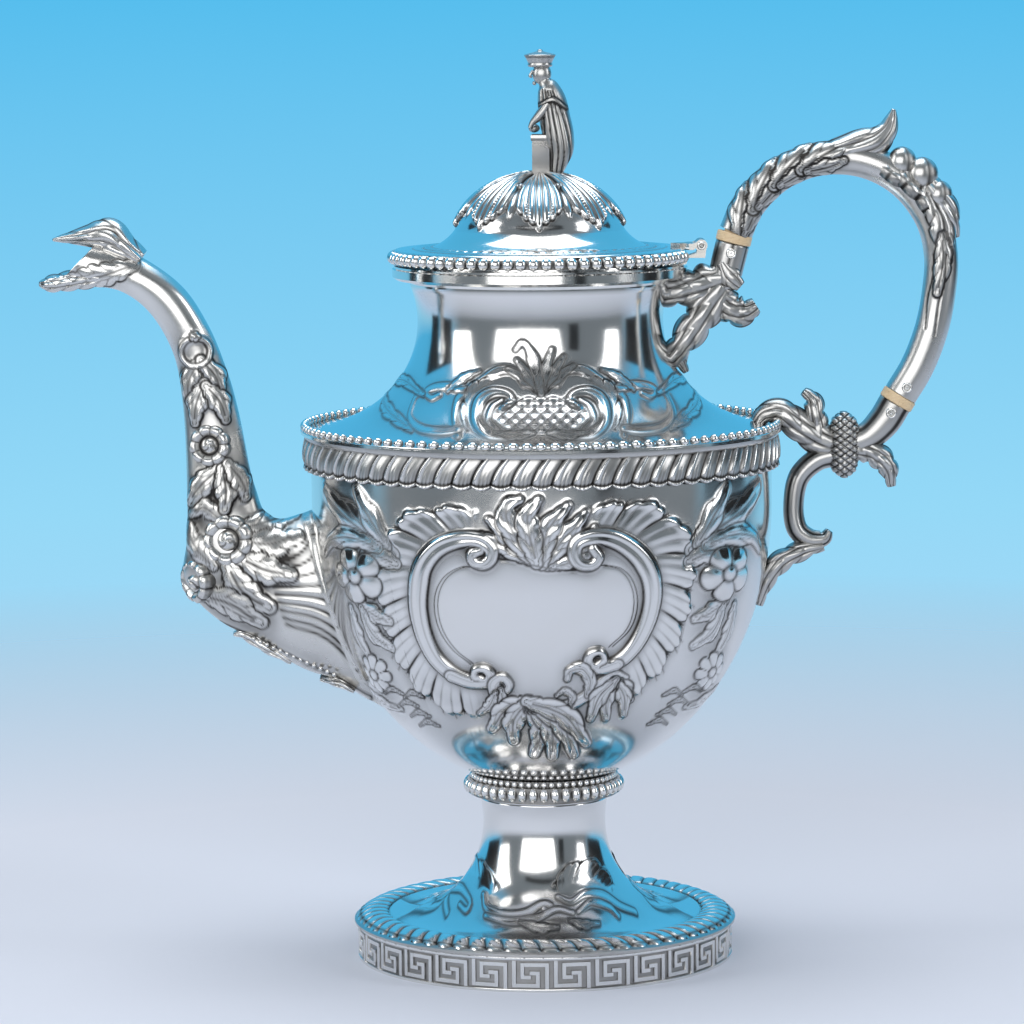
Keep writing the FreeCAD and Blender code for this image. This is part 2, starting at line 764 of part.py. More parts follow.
def handle_bar(tube):
    """The loop and the sweep below it, from the middle of one insulator to the middle of the other."""
    upper = ring_segment(point(loop_x, loop_z), handle_loop_radius, handle_join, handle_start, tube)
    centre, radius, end = lower_sweep()
    lower = ring_segment(centre, radius, end, handle_join, tube)
    return joined(upper, lower)


def insulator_axes():
    """Middle of each insulator and the direction from the handle towards its socket."""
    turn = math.radians(handle_start)
    upper = loop_point(handle_start), V(-math.sin(turn), 0, math.cos(turn))
    centre, radius, end = lower_sweep()
    turn = math.radians(end)
    lower = point(lower_x, lower_z), V(math.sin(turn), 0, -math.cos(turn))
    return {"upper": upper, "lower": lower}


def pin_rods(radius, length):
    rods = []
    for middle, along in insulator_axes().values():
        for side in (-1, 1):
            spot = middle + along * (side * insulator_pin_distance)
            rods.append(rod(spot - ACROSS * (length / 2), ACROSS, radius, length))
    return rods


def pin_holes():
    return Part.makeCompound(pin_rods(insulator_pin_radius + pin_play, 4 * handle_radius))


def insulator(end):
    middle, along = insulator_axes()[end]
    ring = rod(middle - along * (insulator_thickness / 2), along, insulator_radius, insulator_thickness)
    ring = ring.makeFillet(0.4, ring.Edges[:1] + ring.Edges[2:])
    length = 2 * tenon_length + insulator_thickness
    tenon = rod(middle - along * (length / 2), along, tenon_radius, length)
    return joined(ring, tenon).cut(pin_holes())


def handle_loop():
    """Hollow loop, its ends cut flat for the insulators and bored straight for their tenons."""
    hollow = handle_bar(handle_radius).cut(handle_bar(handle_radius - cast_wall))
    for middle, along in insulator_axes().values():
        face = middle - along * (insulator_thickness / 2)
        seat = rod(face, along, insulator_radius + handle_radius, insulator_thickness)
        bore = rod(face, along * -1, tenon_radius + tenon_play, tenon_length + 1.0)
        hollow = hollow.cut(seat).cut(bore)
    return hollow.cut(pin_holes())


def insulator_pins():
    return Part.makeCompound(pin_rods(insulator_pin_radius, 2 * handle_radius + 0.8))


def socket_tube(end):
    """Short tube that takes an insulator's tenon, closed at its far end."""
    middle, along = insulator_axes()[end]
    start = middle + along * (insulator_thickness / 2)
    tube = rod(start, along, handle_radius, socket_length)
    bore = rod(start, along, tenon_radius + tenon_play, tenon_length + 1.0)
    return tube, bore


def upper_socket(neck_space):
    """Leaf-cast socket on the neck, with its scroll knob."""
    tube, bore = socket_tube("upper")
    x, z = neck_waist_radius, neck_waist_z
    top_arm = cast_form(moved([
        (21.5, 14.0, 6.0, 5.6), (15.5, 11.0, 5.6, 6.2), (8.0, 9.2, 4.8, 7.6), (1.0, 8.4, 4.0, 8.4),
        (-6.0, 8.0, 3.6, 8.0),
    ], x, z))
    low_arm = cast_form(moved([
        (20.5, 10.5, 5.6, 5.6), (14.0, 0.5, 5.0, 6.6), (7.0, -8.0, 4.2, 7.0), (2.0, -14.0, 3.4, 5.6),
        (-4.0, -19.0, 3.0, 4.6),
    ], x, z))
    tip = cast_form(moved([(4.5, -10.0, 2.6, 4.2), (5.4, -15.0, 2.0, 3.6), (8.4, -18.4, 1.4, 2.8)], x, z))
    scroll = cast_form(moved([
        (19.0, 8.0, 5.2, 5.0), (24.0, 2.6, 5.0, 4.8), (29.0, 2.2, 4.6, 4.6), (32.4, 4.4, 2.8, 3.6),
    ], x, z))
    space = joined(neck_space, rod(V(0, 0, mouth_z - 0.1), UP,
                                   mouth_inner_radius() + mouth_rim_width + 0.3, 30))
    casting = joined(top_arm, low_arm, tip, scroll, tube).cut(space)
    return casting.cut(bore).cut(pin_holes())


def lower_bracket(obstacles):
    """Scrolled bracket with two arms to the pot, a cross-hatched knot and hanging leaves."""
    tube, bore = socket_tube("lower")
    x, z = shoulder_radius, shoulder_z
    neck_piece = cast_form(moved([(34.4, -1.6, 5.6, 5.6), (28.0, -5.6, 5.2, 5.2), (21.7, -7.0, 4.8, 4.8)],
                                 x, z))
    knot = cast_form(moved([
        (21.7, 3.9, 1.6, 2.2), (21.7, 0.6, 4.0, 5.0), (21.7, -7.0, 4.6, 6.2), (21.7, -14.6, 4.0, 5.0),
        (21.7, -17.9, 1.6, 2.2),
    ], x, z))
    upper_arm = cast_form(moved([
        (21.7, -7.0, 4.8, 4.8), (13.6, -5.4, 5.0, 5.2), (6.4, -0.6, 4.6, 5.2), (0.0, 4.6, 3.8, 4.8),
        (-5.6, 4.0, 3.0, 4.0),
        (-8.6, 0.6, 2.0, 3.2),
    ], x, z))
    leaf = cast_form(moved([(12.0, -3.6, 4.0, 4.4), (11.0, 4.4, 3.0, 4.8), (10.6, 9.4, 2.2, 4.0),
                            (7.8, 11.6, 1.3, 2.6)], x, z))
    lower_arm = cast_form(moved([
        (20.0, -11.0, 4.4, 4.4), (12.0, -12.2, 3.9, 4.2), (5.8, -18.4, 3.6, 4.0), (4.0, -28.0, 3.5, 3.9),
        (5.0, -36.4, 3.6, 3.9),
        (9.2, -40.4, 3.5, 3.8), (14.4, -40.6, 2.6, 3.4),
    ], x, z))
    foot_leaf = cast_form(moved([
        (14.0, -42.6, 1.8, 3.6), (7.0, -44.4, 2.8, 4.6), (-0.5, -48.0, 3.2, 5.0), (-5.6, -54.6, 2.6, 4.6),
        (-8.6, -62.6, 2.2, 3.6),
    ], x, z))
    hanging = cast_form(moved([(24.0, -8.6, 4.2, 4.4), (31.0, -9.4, 3.6, 4.6), (36.6, -14.6, 3.0, 4.4),
                               (38.2, -21.6, 1.6, 3.0)], x, z))
    casting = joined(tube, neck_piece, knot, upper_arm, leaf, lower_arm, foot_leaf, hanging)
    for space in obstacles:
        casting = casting.cut(space)
    return casting.cut(bore).cut(pin_holes())


def loop_stations(rows):
    """Stations of (angle, height above the bar, half thickness, half depth) along the loop's outside."""
    out = []
    for angle, height, in_plane, depth in rows:
        spot = loop_point(angle, handle_loop_radius + handle_radius + height)
        out.append((spot.x, spot.z, in_plane, depth))
    return out


def thumb_leaf(bar):
    """Acanthus leaf laid over the top of the loop, its tip curled up as a thumb rest."""
    leaf = cast_form(loop_stations([
        (146, -2.4, 2.6, 4.6), (124, -1.8, 2.8, 5.8), (100, -1.4, 3.0, 6.4), (82, -0.2, 3.2, 6.4),
        (72, 3.0, 2.8, 5.4),
        (68, 8.6, 1.8, 3.4), (68.5, 13.0, 1.0, 2.0),
    ]))
    return leaf.cut(bar)


def fruit_cluster(bar):
    """Two fruits in their leaves behind the thumb leaf, and the leaf that hangs below them."""
    spots = [(52, 1.8, 5.4), (38.5, 2.2, 5.0)]
    fruits = []
    for angle, height, radius in spots:
        spot = loop_point(angle, handle_loop_radius + handle_radius + height)
        fruits.append(Part.makeSphere(radius, spot))
    bed = cast_form(loop_stations([(61, -2.0, 1.6, 3.4), (52, -1.6, 2.8, 6.6), (38, -1.2, 2.8, 6.8),
                                   (29, -1.8, 2.0, 4.6)]))
    leaf = cast_form(loop_stations([(31, -0.4, 2.0, 4.6), (22, 0.2, 2.2, 4.8), (12, 1.6, 1.4, 3.0),
                                    (8, 2.8, 0.8, 1.6)]))
    return joined(bed, leaf, *fruits).cut(bar)


def pieces():
    bowl_space = bowl_outside()
    neck_space = neck_solid(0.0)
    neck_shell = neck()
    cover = lid_cover()
    lid_outer = lid_space()
    beads = shoulder_bead_wire(neck_space)
    band = gadroon_band()
    bar = handle_bar(handle_radius)
    shoulder_ring = rod(V(0, 0, shoulder_z - sheet - gadroon_height - 0.3), UP, shoulder_radius,
                        gadroon_height + 0.3 + sheet)
    bead_room = Part.makeTorus(shoulder_radius - shoulder_bead_radius, shoulder_bead_radius,
                               V(0, 0, shoulder_z + 0.8 * shoulder_bead_radius))
    made = {
        "foot_key_band": key_band(),
        "foot_gadroon_ring": foot_gadroon_ring(),
        "foot_stem": foot_stem(),
        "stem_bead_collar": bead_collar(bowl_space),
        "bowl": bowl(above_neck_underside()),
        "gadroon_band": band,
        "neck": neck_shell,
        "shoulder_bead_wire": beads,
        "mouth_rim": mouth_rim(),
        "lid_cover": cover,
        "lid_bead_wire": lid_bead_wire(),
        "lid_bezel": lid_bezel(cover),
        "lid_hinge_leaf": lid_hinge_leaf(lid_outer),
        "body_hinge_leaf": body_hinge_leaf(),
        "hinge_pin": hinge_pin(),
        "finial": finial(lid_outer),
        "finial_washer": finial_washer(),
        "finial_nut": finial_nut(),
        "upper_socket": upper_socket(neck_space),
        "upper_insulator": insulator("upper"),
        "handle_loop": handle_loop(),
        "thumb_leaf": thumb_leaf(bar),
        "fruit_cluster": fruit_cluster(bar),
        "lower_insulator": insulator("lower"),
        "lower_bracket": lower_bracket([neck_space, bowl_space, shoulder_ring, bead_room]),
        "insulator_pins": insulator_pins(),
        "spout_half_near": spout_half(-1, bowl_space),
        "spout_half_far": spout_half(1, bowl_space),
    }
    return made


def main():
    os.makedirs("parts", exist_ok=True)
    for name, shape in pieces().items():
        solids = shape.Solids
        print(f"{name}: {len(solids)} solid(s), valid {shape.isValid()}, {shape.Volume / 1000:.2f} cm3")
        out = solids[0] if len(solids) == 1 else Part.makeCompound(solids)
        out.exportStep(f"parts/{name}.step")


main()
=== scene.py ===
import math
import bmesh
import bpy
import numpy as np
from mathutils import Matrix, Vector


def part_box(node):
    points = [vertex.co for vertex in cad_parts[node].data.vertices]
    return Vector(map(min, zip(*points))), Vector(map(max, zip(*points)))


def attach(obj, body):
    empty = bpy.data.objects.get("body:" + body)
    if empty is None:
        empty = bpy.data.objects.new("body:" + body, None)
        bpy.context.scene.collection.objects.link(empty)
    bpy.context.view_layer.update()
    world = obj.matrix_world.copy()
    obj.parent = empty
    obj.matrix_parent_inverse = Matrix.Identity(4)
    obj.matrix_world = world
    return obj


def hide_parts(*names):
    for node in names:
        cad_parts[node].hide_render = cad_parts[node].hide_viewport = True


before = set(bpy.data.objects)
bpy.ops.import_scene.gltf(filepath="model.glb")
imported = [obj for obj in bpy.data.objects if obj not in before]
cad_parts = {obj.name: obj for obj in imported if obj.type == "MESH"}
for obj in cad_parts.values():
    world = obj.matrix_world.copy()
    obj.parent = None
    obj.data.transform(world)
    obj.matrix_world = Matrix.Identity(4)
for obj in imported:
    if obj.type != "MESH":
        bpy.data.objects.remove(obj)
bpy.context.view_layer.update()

# A silver coffee pot with chased rococo ornament. Sizes below are millimetres in the part's own frame:
# +Z up, the spout towards -X, the handle towards +X, the camera on the -Y side.
MM = 0.001


def node_box(node):
    """Lowest and highest corner of a solid of the frame, in millimetres."""
    low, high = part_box(node)
    return np.array(low) / MM, np.array(high) / MM


# Sizes read from the frame
FOOT_RADIUS = node_box("foot_key_band")[1][1]
KEY_TOP = node_box("foot_key_band")[1][2]
STEM_TOP = node_box("foot_stem")[1][2]
BOWL_RADIUS = node_box("bowl")[1][1]
BOWL_BOTTOM = node_box("bowl")[0][2]
SHOULDER_Z = node_box("shoulder_bead_wire")[0][2]
SHOULDER_RADIUS = node_box("neck")[1][0]
MOUTH_Z = node_box("neck")[1][2]
LID_TOP = node_box("lid_cover")[1][2]
LID_PLATE_RADIUS = node_box("lid_cover")[1][1]
BAND_BOTTOM, BAND_TOP = node_box("gadroon_band")[0][2], node_box("gadroon_band")[1][2]

# Profile sizes that the boxes do not give
BOWL_DEPTH = 99.0
BOWL_RIM = BOWL_BOTTOM + BOWL_DEPTH
NECK_WAIST_RADIUS, NECK_DROP = 42.4, 37.4
STEM_WAIST_RADIUS, STEM_SPREAD, STEM_WAIST_Z, PLATEAU_Z = 21.1, 29.9, 48.0, 15.4
PLATEAU_RADIUS = 55.5
DOME_RADIUS, DOME_HALF_HEIGHT = 29.5, 23.2
DOME_COVE = 28.2
COVE_END = 41.0
LID_RISE, LID_SHEET = 26.5, 0.9
PLATE_TOP = LID_TOP - LID_RISE + LID_SHEET
SKIN_LIFT = 0.40             # chased skin over the plain solid
DEEPEST = 0.34               # deepest chased line, within the lift
TUCK = 0.5                   # skin's border sunk into the solid
ACROSS = np.array([0.0, 1.0, 0.0])

# Counts of what repeats round the pot
LID_BEADS, SHOULDER_BEADS, COLLAR_BEADS, COLLAR_UPPER_BEADS = 74, 112, 44, 60
SHOULDER_GADROONS, FOOT_GADROONS, KEY_UNITS, DOME_SHELLS = 76, 64, 29, 8

# Patina all over a casting, from almost none on the polished pins to the dark finial
PIN_TONE, SPOUT_TONE, HANDLE_TONE, SOCKET_TONE, FINIAL_TONE = 0.05, 0.22, 0.30, 0.42, 0.46

# Colours
OXIDE = (0.045, 0.042, 0.040)
BONE_TAN = (0.62, 0.43, 0.24, 1.0)
BONE_PALE = (0.80, 0.64, 0.42, 1.0)
BONE_PORE = (0.16, 0.09, 0.05, 1.0)
FLOOR_PALE = (0.70, 0.74, 0.84, 1.0)
AIR_GREY = (0.186, 0.216, 0.240, 1.0)
BACKDROP_LOW = (0.52, 0.69, 0.90, 1.0)
BACKDROP_MIDDLE = (0.30, 0.69, 0.93, 1.0)
BACKDROP_HIGH = (0.09, 0.51, 0.85, 1.0)
CARD_DARK = (0.015, 0.015, 0.015)

# Scales of the patterns, per metre
CLOUD_SCALE, GRAIN_SCALE, POLISH_SCALE = 55.0, 900.0, 2600.0
STREAK_SCALE, PORE_SCALE = 420.0, 1500.0

# Camera: place in metres, lens in millimetres, turns in radians
CAMERA_PLACE = (0.0, -1.57935, 0.34123)
CAMERA_LENS, CAMERA_SENSOR = 159.67, 36.0
CAMERA_DOWN, CAMERA_SWING, CAMERA_ROLL = 0.1163, 0.0066, -0.0086


# Shader expressions

class Value:
    """A shader socket that takes part in arithmetic; each operation adds a Math node."""

    def __init__(self, tree, socket):
        self.tree = tree
        self.socket = socket

    def node(self, kind, settings=None, **inputs):
        """Adds a node of any kind; settings are attributes and inputs go to sockets by name or number."""
        made = self.tree.nodes.new(kind)
        for key, value in (settings or {}).items():
            setattr(made, key, value)
        for key, value in inputs.items():
            name = key.replace("_", " ")
            socket = made.inputs[int(key[1:])] if key[1:].isdigit() else made.inputs[name]
            if isinstance(value, Value):
                self.tree.links.new(value.socket, socket)
            else:
                socket.default_value = value
        return made

    def math(self, operation, *others, clamp=False):
        """Math node on this value and others."""
        inputs = {f"n{i}": v for i, v in enumerate((self, *others))}
        made = self.node("ShaderNodeMath", {"operation": operation, "use_clamp": clamp}, **inputs)
        return Value(self.tree, made.outputs[0])

    def __add__(self, other):
        return self.math("ADD", other)

    def __sub__(self, other):
        return self.math("SUBTRACT", other)

    def __mul__(self, other):
        return self.math("MULTIPLY", other)

    def __rsub__(self, other):
        return (self * -1.0) + other

    __radd__ = __add__
    __rmul__ = __mul__

    def clamp(self):
        """This value limited to the range 0 to 1."""
        return self.math("ADD", 0.0, clamp=True)

    def blend(self, first, second):
        """Colour between two colours, this value being the share of the second."""
        made = self.node("ShaderNodeMix", {"data_type": "RGBA"}, n0=self, n6=first, n7=second)
        return Value(self.tree, made.outputs[2])


def new_material(name):
    """A material with its shader, and the socket of its object coordinates."""
    material = bpy.data.materials.new(name)
    material.use_nodes = True
    tree = material.node_tree
    shader = tree.nodes["Principled BSDF"]
    place = tree.nodes.new("ShaderNodeTexCoord")
    return material, shader, Value(tree, place.outputs["Object"])


def noise(place, scale, detail=3.0):
    """Soft cloudy value at object coordinates."""
    made = place.node("ShaderNodeTexNoise", Vector=place, Scale=scale, Detail=detail, Roughness=0.55)
    return Value(place.tree, made.outputs["Fac"])


def silver(name, tone, polish, stipple=0.0):
    """Polished silver, darkened by its patina attribute, with tarnish clouds and fine polishing marks."""
    material, shader, place = new_material(name)
    tree = place.tree
    tarnish = place.node("ShaderNodeAttribute", {"attribute_name": "patina"})
    patina = Value(tree, tarnish.outputs["Fac"])
    cloud = noise(place, CLOUD_SCALE)
    fine = noise(place, GRAIN_SCALE, detail=2.0)
    dark = (patina * (cloud * 0.5 + 0.75)).clamp()
    warm = (cloud * 1.6 - 0.62).clamp() * 0.22
    bright = warm.blend((*tone, 1.0), (tone[0] * 0.86, tone[1] * 0.82, tone[2] * 0.74, 1.0))
    colour = dark.blend(bright, (*OXIDE, 1.0))
    tree.links.new(colour.socket, shader.inputs["Base Color"])
    rough = dark * 0.34 + cloud * 0.07 + fine * 0.03 + (polish - 0.05)
    tree.links.new(rough.socket, shader.inputs["Roughness"])
    shader.inputs["Metallic"].default_value = 1.0
    marks = noise(place, POLISH_SCALE, detail=1.0) * 0.25 + cloud * 0.5 + fine * stipple
    bump = place.node("ShaderNodeBump", Strength=0.025, Distance=0.0006, Height=marks)
    tree.links.new(bump.outputs["Normal"], shader.inputs["Normal"])
    return material


def bone(name):
    """Turned bone, tan with age, with fine streaks and darker pores."""
    material, shader, place = new_material(name)
    tree = place.tree
    streak = place.node("ShaderNodeMapping", n0=place, Scale=(1.0, 1.0, 5.0))
    grain = noise(Value(tree, streak.outputs["Vector"]), STREAK_SCALE)
    pores = (noise(place, PORE_SCALE, detail=1.0) * 4.0 - 2.35).clamp()
    tan = (grain * 1.5 - 0.25).clamp().blend(BONE_TAN, BONE_PALE)
    colour = (pores * 0.55).blend(tan, BONE_PORE)
    tree.links.new(colour.socket, shader.inputs["Base Color"])
    rough = grain * 0.25 + 0.28
    tree.links.new(rough.socket, shader.inputs["Roughness"])
    bump = place.node("ShaderNodeBump", Strength=0.2, Distance=0.0002, Height=grain)
    tree.links.new(bump.outputs["Normal"], shader.inputs["Normal"])
    return material


CHASED = silver("chased_silver", (0.77, 0.765, 0.76), 0.13)
TRIM = silver("beaded_silver", (0.84, 0.83, 0.815), 0.16)
CAST = silver("cast_silver", (0.83, 0.82, 0.80), 0.19, stipple=0.3)
PLAIN = silver("plain_silver", (0.80, 0.795, 0.78), 0.13)
AGED = silver("aged_fittings", (0.46, 0.45, 0.43), 0.26)
BONE = bone("turned_bone")


# Plain maths

def bell(x, width):
    """Soft hump: 1 where x is zero, next to nothing at twice the width."""
    return np.exp(-(x / width) ** 2)


def clamped(x):
    """Values limited to the range 0 to 1."""
    return np.clip(x, 0, 1)


def even_turns(count):
    """Angles of a full turn in equal steps."""
    return np.linspace(0, 2 * math.pi, count, endpoint=False)


def mirrored(points, side):
    """Points of the front elevation, swapped left to right where side is -1."""
    return [(side * x, z) for x, z in points]


# Meshes

def mesh_object(name, points, faces, material, patina=None):
    """Smooth object from points in millimetres and a list of face index arrays."""
    mesh = bpy.data.meshes.new(name)
    mesh.from_pydata((np.asarray(points, float) * MM).tolist(), [], [list(map(int, f)) for f in faces])
    if patina is not None:
        layer = mesh.attributes.new("patina", "FLOAT", "POINT")
        layer.data.foreach_set("value", np.asarray(patina, np.float32))
    mesh.polygons.foreach_set("use_smooth", [True] * len(mesh.polygons))
    mesh.materials.append(material)
    mesh.update()
    made = bpy.data.objects.new(name, mesh)
    bpy.context.scene.collection.objects.link(made)
    return made


def grid_faces(rows, columns, wrap_columns=False, start=0):
    """Quads of a grid of points, row by row, whose columns may close on themselves."""
    across = columns if wrap_columns else columns - 1
    r, c = np.meshgrid(np.arange(rows - 1), np.arange(across), indexing="ij")
    nxt = (c + 1) % columns
    quads = np.stack([r * columns + c, r * columns + nxt, (r + 1) * columns + nxt,
                      (r + 1) * columns + c], -1)
    return quads.reshape(-1, 4) + start


def grid_object(name, points, material, patina):
    """Open sheet from a grid of points."""
    faces = grid_faces(*points.shape[:2])
    return mesh_object(name, points.reshape(-1, 3), faces, material, patina.ravel())


def belongs(piece, body, replaced=()):
    """Gives a piece its body and the solids that it stands for."""
    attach(piece, body)
    if replaced:
        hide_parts(*replaced)


def grid_normals(points, wrap_columns=False):
    """Unit normals of a grid of points, from its rows and columns."""
    down = np.gradient(points, axis=0)
    if wrap_columns:
        across = (np.roll(points, -1, 1) - np.roll(points, 1, 1)) / 2
    else:
        across = np.gradient(points, axis=1)
    out = np.cross(across, down)
    return out / np.maximum(np.linalg.norm(out, axis=2, keepdims=True), 1e-9)


def box_blur(field, reach):
    """Average of a grid over a square of cells, three times, which is near a soft round blur."""
    for _ in range(3):
        for axis in (0, 1):
            width = [(0, 0), (0, 0)]
            width[axis] = (reach + 1, reach)
            total = np.cumsum(np.pad(field, width, mode="edge"), axis=axis)
            high = np.take(total, np.arange(2 * reach + 1, total.shape[axis]), axis=axis)
            low = np.take(total, np.arange(0, total.shape[axis] - 2 * reach - 1), axis=axis)
            field = (high - low) / (2 * reach + 1)
    return field


def hollow_shade(height, reach, strength):
    """Patina that gathers where a relief lies below its surroundings."""
    return clamped((box_blur(height, reach) - height) * strength)


def spline(points, step=0.6):
    """Smooth open line through a few points, sampled about every step."""
    p = np.asarray(points, float)
    p = np.vstack([2 * p[0] - p[1], p, 2 * p[-1] - p[-2]])
    line = []
    for a, b, c, d in zip(p, p[1:], p[2:], p[3:]):
        count = max(3, int(np.linalg.norm(c - b) / step))
        t = np.linspace(0, 1, count, endpoint=False)[:, None]
        line.append(0.5 * (2 * b + (c - a) * t + (2 * a - 5 * b + 4 * c - d) * t ** 2
                           + (3 * b - a - 3 * c + d) * t ** 3))
    return np.vstack(line + [p[-2:-1]])


def ring_line(centre, radius):
    """Points once round a ring, from its top."""
    angles = math.pi / 2 + 2 * math.pi * np.linspace(0, 1, 10)
    return [(centre[0] + radius * math.cos(a), centre[1] + radius * math.sin(a)) for a in angles]


AT_ONCE = 20000              # points of a map that are measured together


class Relief:
    """Height and patina of chased ornament on a flat map of a surface, in millimetres."""

    def __init__(self, u, v):
        self.shape = u.shape
        self.at = np.column_stack([u.ravel(), v.ravel()])
        self.height = np.zeros(len(self.at))
        self.dark = np.zeros(len(self.at))

    def near(self, line, reach):
        """Which points lie near a line, how far along it each is (0 to 1) and its distance to the left."""
        low, high = line.min(0) - reach, line.max(0) + reach
        picked = np.flatnonzero(((self.at >= low) & (self.at <= high)).all(1))
        p = self.at[picked]
        best, part = np.zeros(len(p), int), np.zeros(len(p))
        last = len(line) - 1
        for start in range(0, len(p), AT_ONCE):
            some = slice(start, start + AT_ONCE)
            gap = ((p[some, None, :] - line[None]) ** 2).sum(2)
            nearest = gap.argmin(1)
            each = np.arange(len(gap))
            before, here, after = (gap[each, np.clip(nearest + k, 0, last)] for k in (-1, 0, 1))
            between = 0.5 * (before - after) / np.maximum(before - 2 * here + after, 1e-9)
            best[some] = nearest
            part[some] = np.where((nearest > 0) & (nearest < last), between, 0)
        tangent = np.gradient(line, axis=0)
        spacing = np.maximum(np.linalg.norm(tangent, axis=1), 1e-9)
        tangent /= spacing[:, None]
        offset = p - line[best]
        side = tangent[best, 0] * offset[:, 1] - tangent[best, 1] * offset[:, 0]
        beyond = np.maximum(np.abs((tangent[best] * offset).sum(1)) - spacing[best], 0)
        distance = np.where(side < 0, -1, 1) * np.hypot(side, beyond)
        return picked, (best + part) / last, distance

    def lay(self, picked, height, dark, inside):
        """Puts a form over what is there: its height and patina inside it, its outline's shade outside."""
        idx = picked[inside]
        self.height[idx] = np.maximum(height[inside], 0.4 * self.height[idx])
        self.dark[idx] = dark[inside]
        rest = picked[~inside]
        self.dark[rest] = np.maximum(self.dark[rest], dark[~inside])

    def ridge(self, points, width, height, flute=0.35, outline=0.8):
        """Rounded scroll with a hollow along its middle; width may be (start, middle, end)."""
        line = spline(points)
        w_all = np.broadcast_to(width, 3) if np.ndim(width) else np.full(3, width)
        picked, t, d = self.near(line, max(w_all) + 2)
        w = np.interp(t, [0, 0.5, 1], w_all)
        a = np.abs(d) / w
        body = np.sqrt(clamped(1 - a ** 2)) - flute * bell(a, 0.34)
        edge = bell(np.abs(d) - w, 0.42) * outline
        crease = 0.35 * bell(a - 0.45, 0.09) * (a < 1)
        self.lay(picked, height * body, np.maximum(edge, crease), a < 1)

    def groove(self, points, width, depth, dark=0.75):
        """Chased line sunk into the surface."""
        picked, _, d = self.near(spline(points), 3 * width)
        cut = bell(d, width)
        self.height[picked] -= depth * cut
        self.dark[picked] = np.maximum(self.dark[picked], dark * cut ** 2)

    def frill(self, points, side, inner, width, ribs, height, sweep=1.6):
        """Rocaille border along one side of a line: ribs fanning out to a scalloped, upturned edge."""
        line = spline(points)
        w_all = np.asarray(width, float)
        picked, t, d = self.near(line, w_all.max() + 3)
        w = np.interp(t, np.linspace(0, 1, len(w_all)), w_all)
        away = d * side - inner
        phase = ribs * t - sweep * away / w
        wave = np.abs(np.sin(math.pi * phase))
        big = np.abs(np.sin(math.pi * phase / 3))
        reach = w * (0.74 + 0.07 * wave + 0.24 * big ** 0.7) - inner
        a = away / reach
        fade = clamped(t * 14) * clamped((1 - t) * 14)
        rise = 0.25 + 0.45 * clamped(a) ** 0.7 + 0.35 * bell(a - 0.92, 0.10)
        body = height * rise * (0.34 + 0.24 * wave + 0.46 * big ** 0.8) * fade
        valley = 0.40 * bell(wave, 0.30) + 0.75 * bell(big, 0.15)
        valley = valley * clamped((a - 0.12) * 2.2)
        edge = bell(away - reach, 0.5)
        dark = clamped(valley + 0.9 * edge) * fade
        inside = (a > -0.05) & (a < 1)
        outside = (a >= 1) & (a < 1.25) & (fade > 0)
        keep = inside | outside
        self.lay(picked[keep], body[keep], dark[keep], inside[keep])

    def frond(self, points, width, height, lobes=3, tip=0.45, sweep=0.8):
        """Acanthus frond: lobes that sweep forward to notches in its edge, with a sunk midrib."""
        line = spline(points)
        picked, t, d = self.near(line, width + 2)
        full = width * np.interp(t, [0, 0.12, 0.55, 0.85, 1], [0.45, 0.75, 1.0, 0.62, tip])
        a = clamped(np.abs(d) / full)
        wave = np.abs(np.cos(math.pi * (lobes * t + sweep * (1 - a))))
        w = full * (0.74 + 0.26 * np.abs(np.cos(math.pi * lobes * t)) ** 0.6)
        inside = np.abs(d) < w
        pillow = np.sqrt(clamped(1 - (d / w) ** 2))
        rise = np.interp(t, [0, 0.3, 0.9, 1], [0.55, 0.8, 1.1, 0.8])
        long = np.abs(np.cos(1.5 * math.pi * d / w))
        body = pillow * (0.66 + 0.22 * wave + 0.12 * long) - 0.30 * bell(d, 0.15 * width)
        edge = 0.85 * bell(np.abs(d) - w, 0.42)
        middle = 0.65 * bell(d, 0.10 * width) * (t > 0.05) * (t < 0.93)
        lines = 0.6 * bell(wave, 0.22) * (a > 0.35) + 0.45 * bell(long, 0.3) * (a < 0.7)
        self.lay(picked, height * body * rise, clamped(edge + inside * (middle + lines)), inside)

    def fan(self, root, tips, width, height, bow=0.12, lobes=3):
        """Fronds that spread from one root, each bowed to one side."""
        root = np.asarray(root, float)
        for tip in tips:
            tip = np.asarray(tip, float)
            side = np.array([-(tip - root)[1], (tip - root)[0]]) * bow * np.sign(tip[0] - root[0] + 1e-6)
            self.frond([root, (root + tip) / 2 + side, tip], width, height, lobes)

    def flower(self, centre, radius, height, petals=5, turn=0.0, squeeze=1.0):
        """Open flower: notched petals round a ringed eye."""
        offset = (self.at - np.asarray(centre, float)) / np.array([squeeze, 1.0])
        r = np.linalg.norm(offset, axis=1)
        picked = np.flatnonzero(r < radius * 1.3)
        r, o = r[picked], offset[picked]
        angle = np.arctan2(o[:, 1], o[:, 0]) + turn
        petal = np.abs(np.cos(petals * angle / 2))
        reach = radius * (0.70 + 0.30 * np.sqrt(petal))
        a = r / reach
        ripple = 0.12 * np.cos(4 * petals * angle)
        body = 0.35 + 0.75 * np.sin(math.pi * clamped(a) ** 0.8) * (0.5 + 0.5 * petal) + ripple * a
        eye = bell(r, 0.17 * radius) * 0.9
        ring = bell(r - 0.27 * radius, 0.07 * radius)
        split = bell(petal, 0.24) * (a > 0.3) * (a < 1)
        edge = 0.9 * bell(r - reach, 0.45)
        self.lay(picked, height * (body + eye), clamped(0.7 * split + 0.8 * ring + edge), a < 1)

